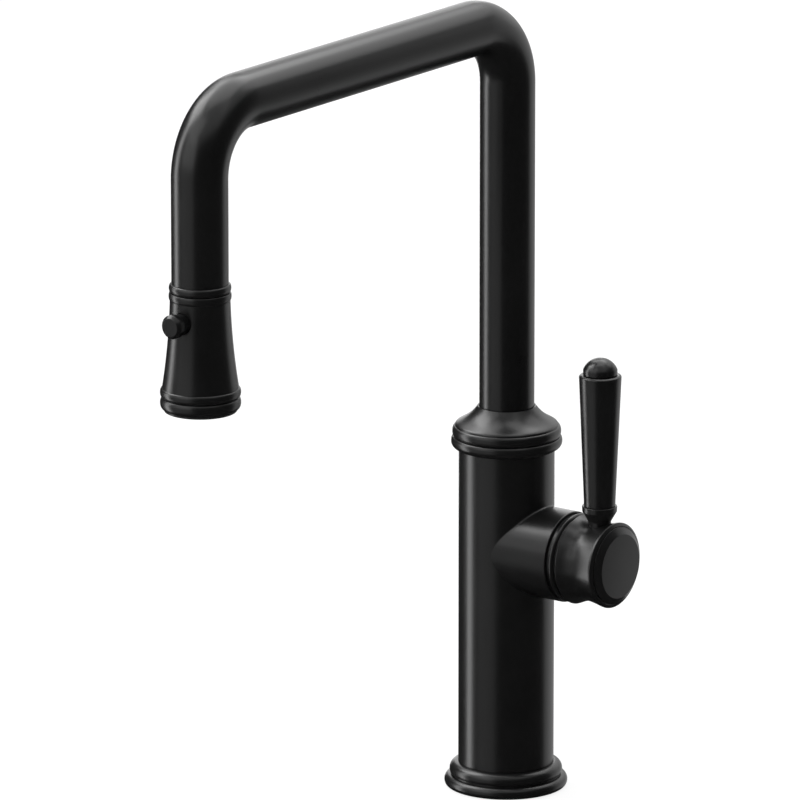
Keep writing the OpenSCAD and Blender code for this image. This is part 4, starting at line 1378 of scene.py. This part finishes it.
# Soft lamps: name, angle round from the camera in degrees, distance from the column and height,
# width and height of the face, level, and the height that it aims at. Lengths are in metres.
LAMPS = [
    ("left_strip", -100, 1.6, 0.20, 0.46, 1.9, 4.2, 0.20),
    ("left_fill_low", -50, 1.6, -0.15, 1.4, 1.2, 0.44, -0.15),
    ("left_fill_mid", -52, 1.6, 0.90, 1.5, 0.9, 1.2, 0.90),
    ("left_fill_high", -60, 1.3, 1.60, 1.4, 0.9, 1.6, 0.20),
    ("right_wall", 116, 1.6, 0.15, 0.7, 1.8, 0.66, 0.15),
    ("right_high", 80, 1.1, 1.70, 1.5, 0.95, 0.48, 0.20),
    ("back_low", 150, 1.6, -0.15, 1.4, 1.2, 0.6, -0.15),
    ("back_mid", 152, 1.6, 0.85, 1.5, 0.8, 1.0, 0.85),
    ("back_right_high", 138, 1.15, 1.50, 1.5, 0.9, 1.75, 0.20),
    ("side_left_high", -113, 1.2, 1.48, 1.0, 0.95, 5.8, 0.20),
    ("back_left_high", -147, 1.25, 1.40, 0.9, 0.9, 1.2, 0.20),
    ("rear", -175, 1.6, 0.40, 0.6, 1.4, 1.6, 0.40),
    ("rear_high", -172, 1.25, 1.55, 1.2, 0.9, 0.9, 0.20),
    ("top", 180, 0.45, 1.85, 1.5, 1.9, 2.3, 0.20),
    ("front_high", 10, 1.1, 1.70, 1.9, 1.1, 0.62, 0.20),
]


def build_stage(studio):
    """Floor, camera and lamps, with Blender's plain view transform."""
    bpy.context.scene.view_settings.view_transform = "Standard"
    make_world(studio)
    make_floor(studio)
    make_camera(studio)
    for lamp in LAMPS:
        panel_lamp(studio, *lamp)


class FAUCET_OT_stage(FaucetStep, Operator):
    """Makes the floor, lamps and camera."""

    bl_idname = "faucet.stage"
    bl_label = "Stage"

    def execute(self, context):
        build_stage(context.scene.faucet_studio)
        return {"FINISHED"}


# ---------------------------------------------------------------- add-on

OPERATORS = [
    FAUCET_OT_finishes,
    FAUCET_OT_flange,
    FAUCET_OT_column,
    FAUCET_OT_shank,
    FAUCET_OT_collar,
    FAUCET_OT_spout,
    FAUCET_OT_ferrule,
    FAUCET_OT_head,
    FAUCET_OT_mouth,
    FAUCET_OT_button,
    FAUCET_OT_dome,
    FAUCET_OT_hub,
    FAUCET_OT_cap,
    FAUCET_OT_neck,
    FAUCET_OT_grip,
    FAUCET_OT_finial,
    FAUCET_OT_stage,
]


class FAUCET_PT_sidebar(Panel):
    """Lists the faucet's operators."""

    bl_idname = "FAUCET_PT_sidebar"
    bl_label = "Faucet"
    bl_space_type = "VIEW_3D"
    bl_region_type = "UI"
    bl_category = "Faucet"

    def draw(self, context):
        for step in OPERATORS:
            self.layout.operator(step.bl_idname)


CLASSES = [FaucetSizes, FaucetFinish, FaucetStudio, *OPERATORS, FAUCET_PT_sidebar]


def register():
    for cls in CLASSES:
        bpy.utils.register_class(cls)
    bpy.types.Scene.faucet_sizes = PointerProperty(type=FaucetSizes)
    bpy.types.Scene.faucet_finish = PointerProperty(type=FaucetFinish)
    bpy.types.Scene.faucet_studio = PointerProperty(type=FaucetStudio)


def unregister():
    del bpy.types.Scene.faucet_studio
    del bpy.types.Scene.faucet_finish
    del bpy.types.Scene.faucet_sizes
    for cls in reversed(CLASSES):
        bpy.utils.unregister_class(cls)


def main():
    register()
    for step in OPERATORS:
        run = getattr(bpy.ops.faucet, step.bl_idname.split(".")[1])
        run()


if __name__ == "__main__":
    main()
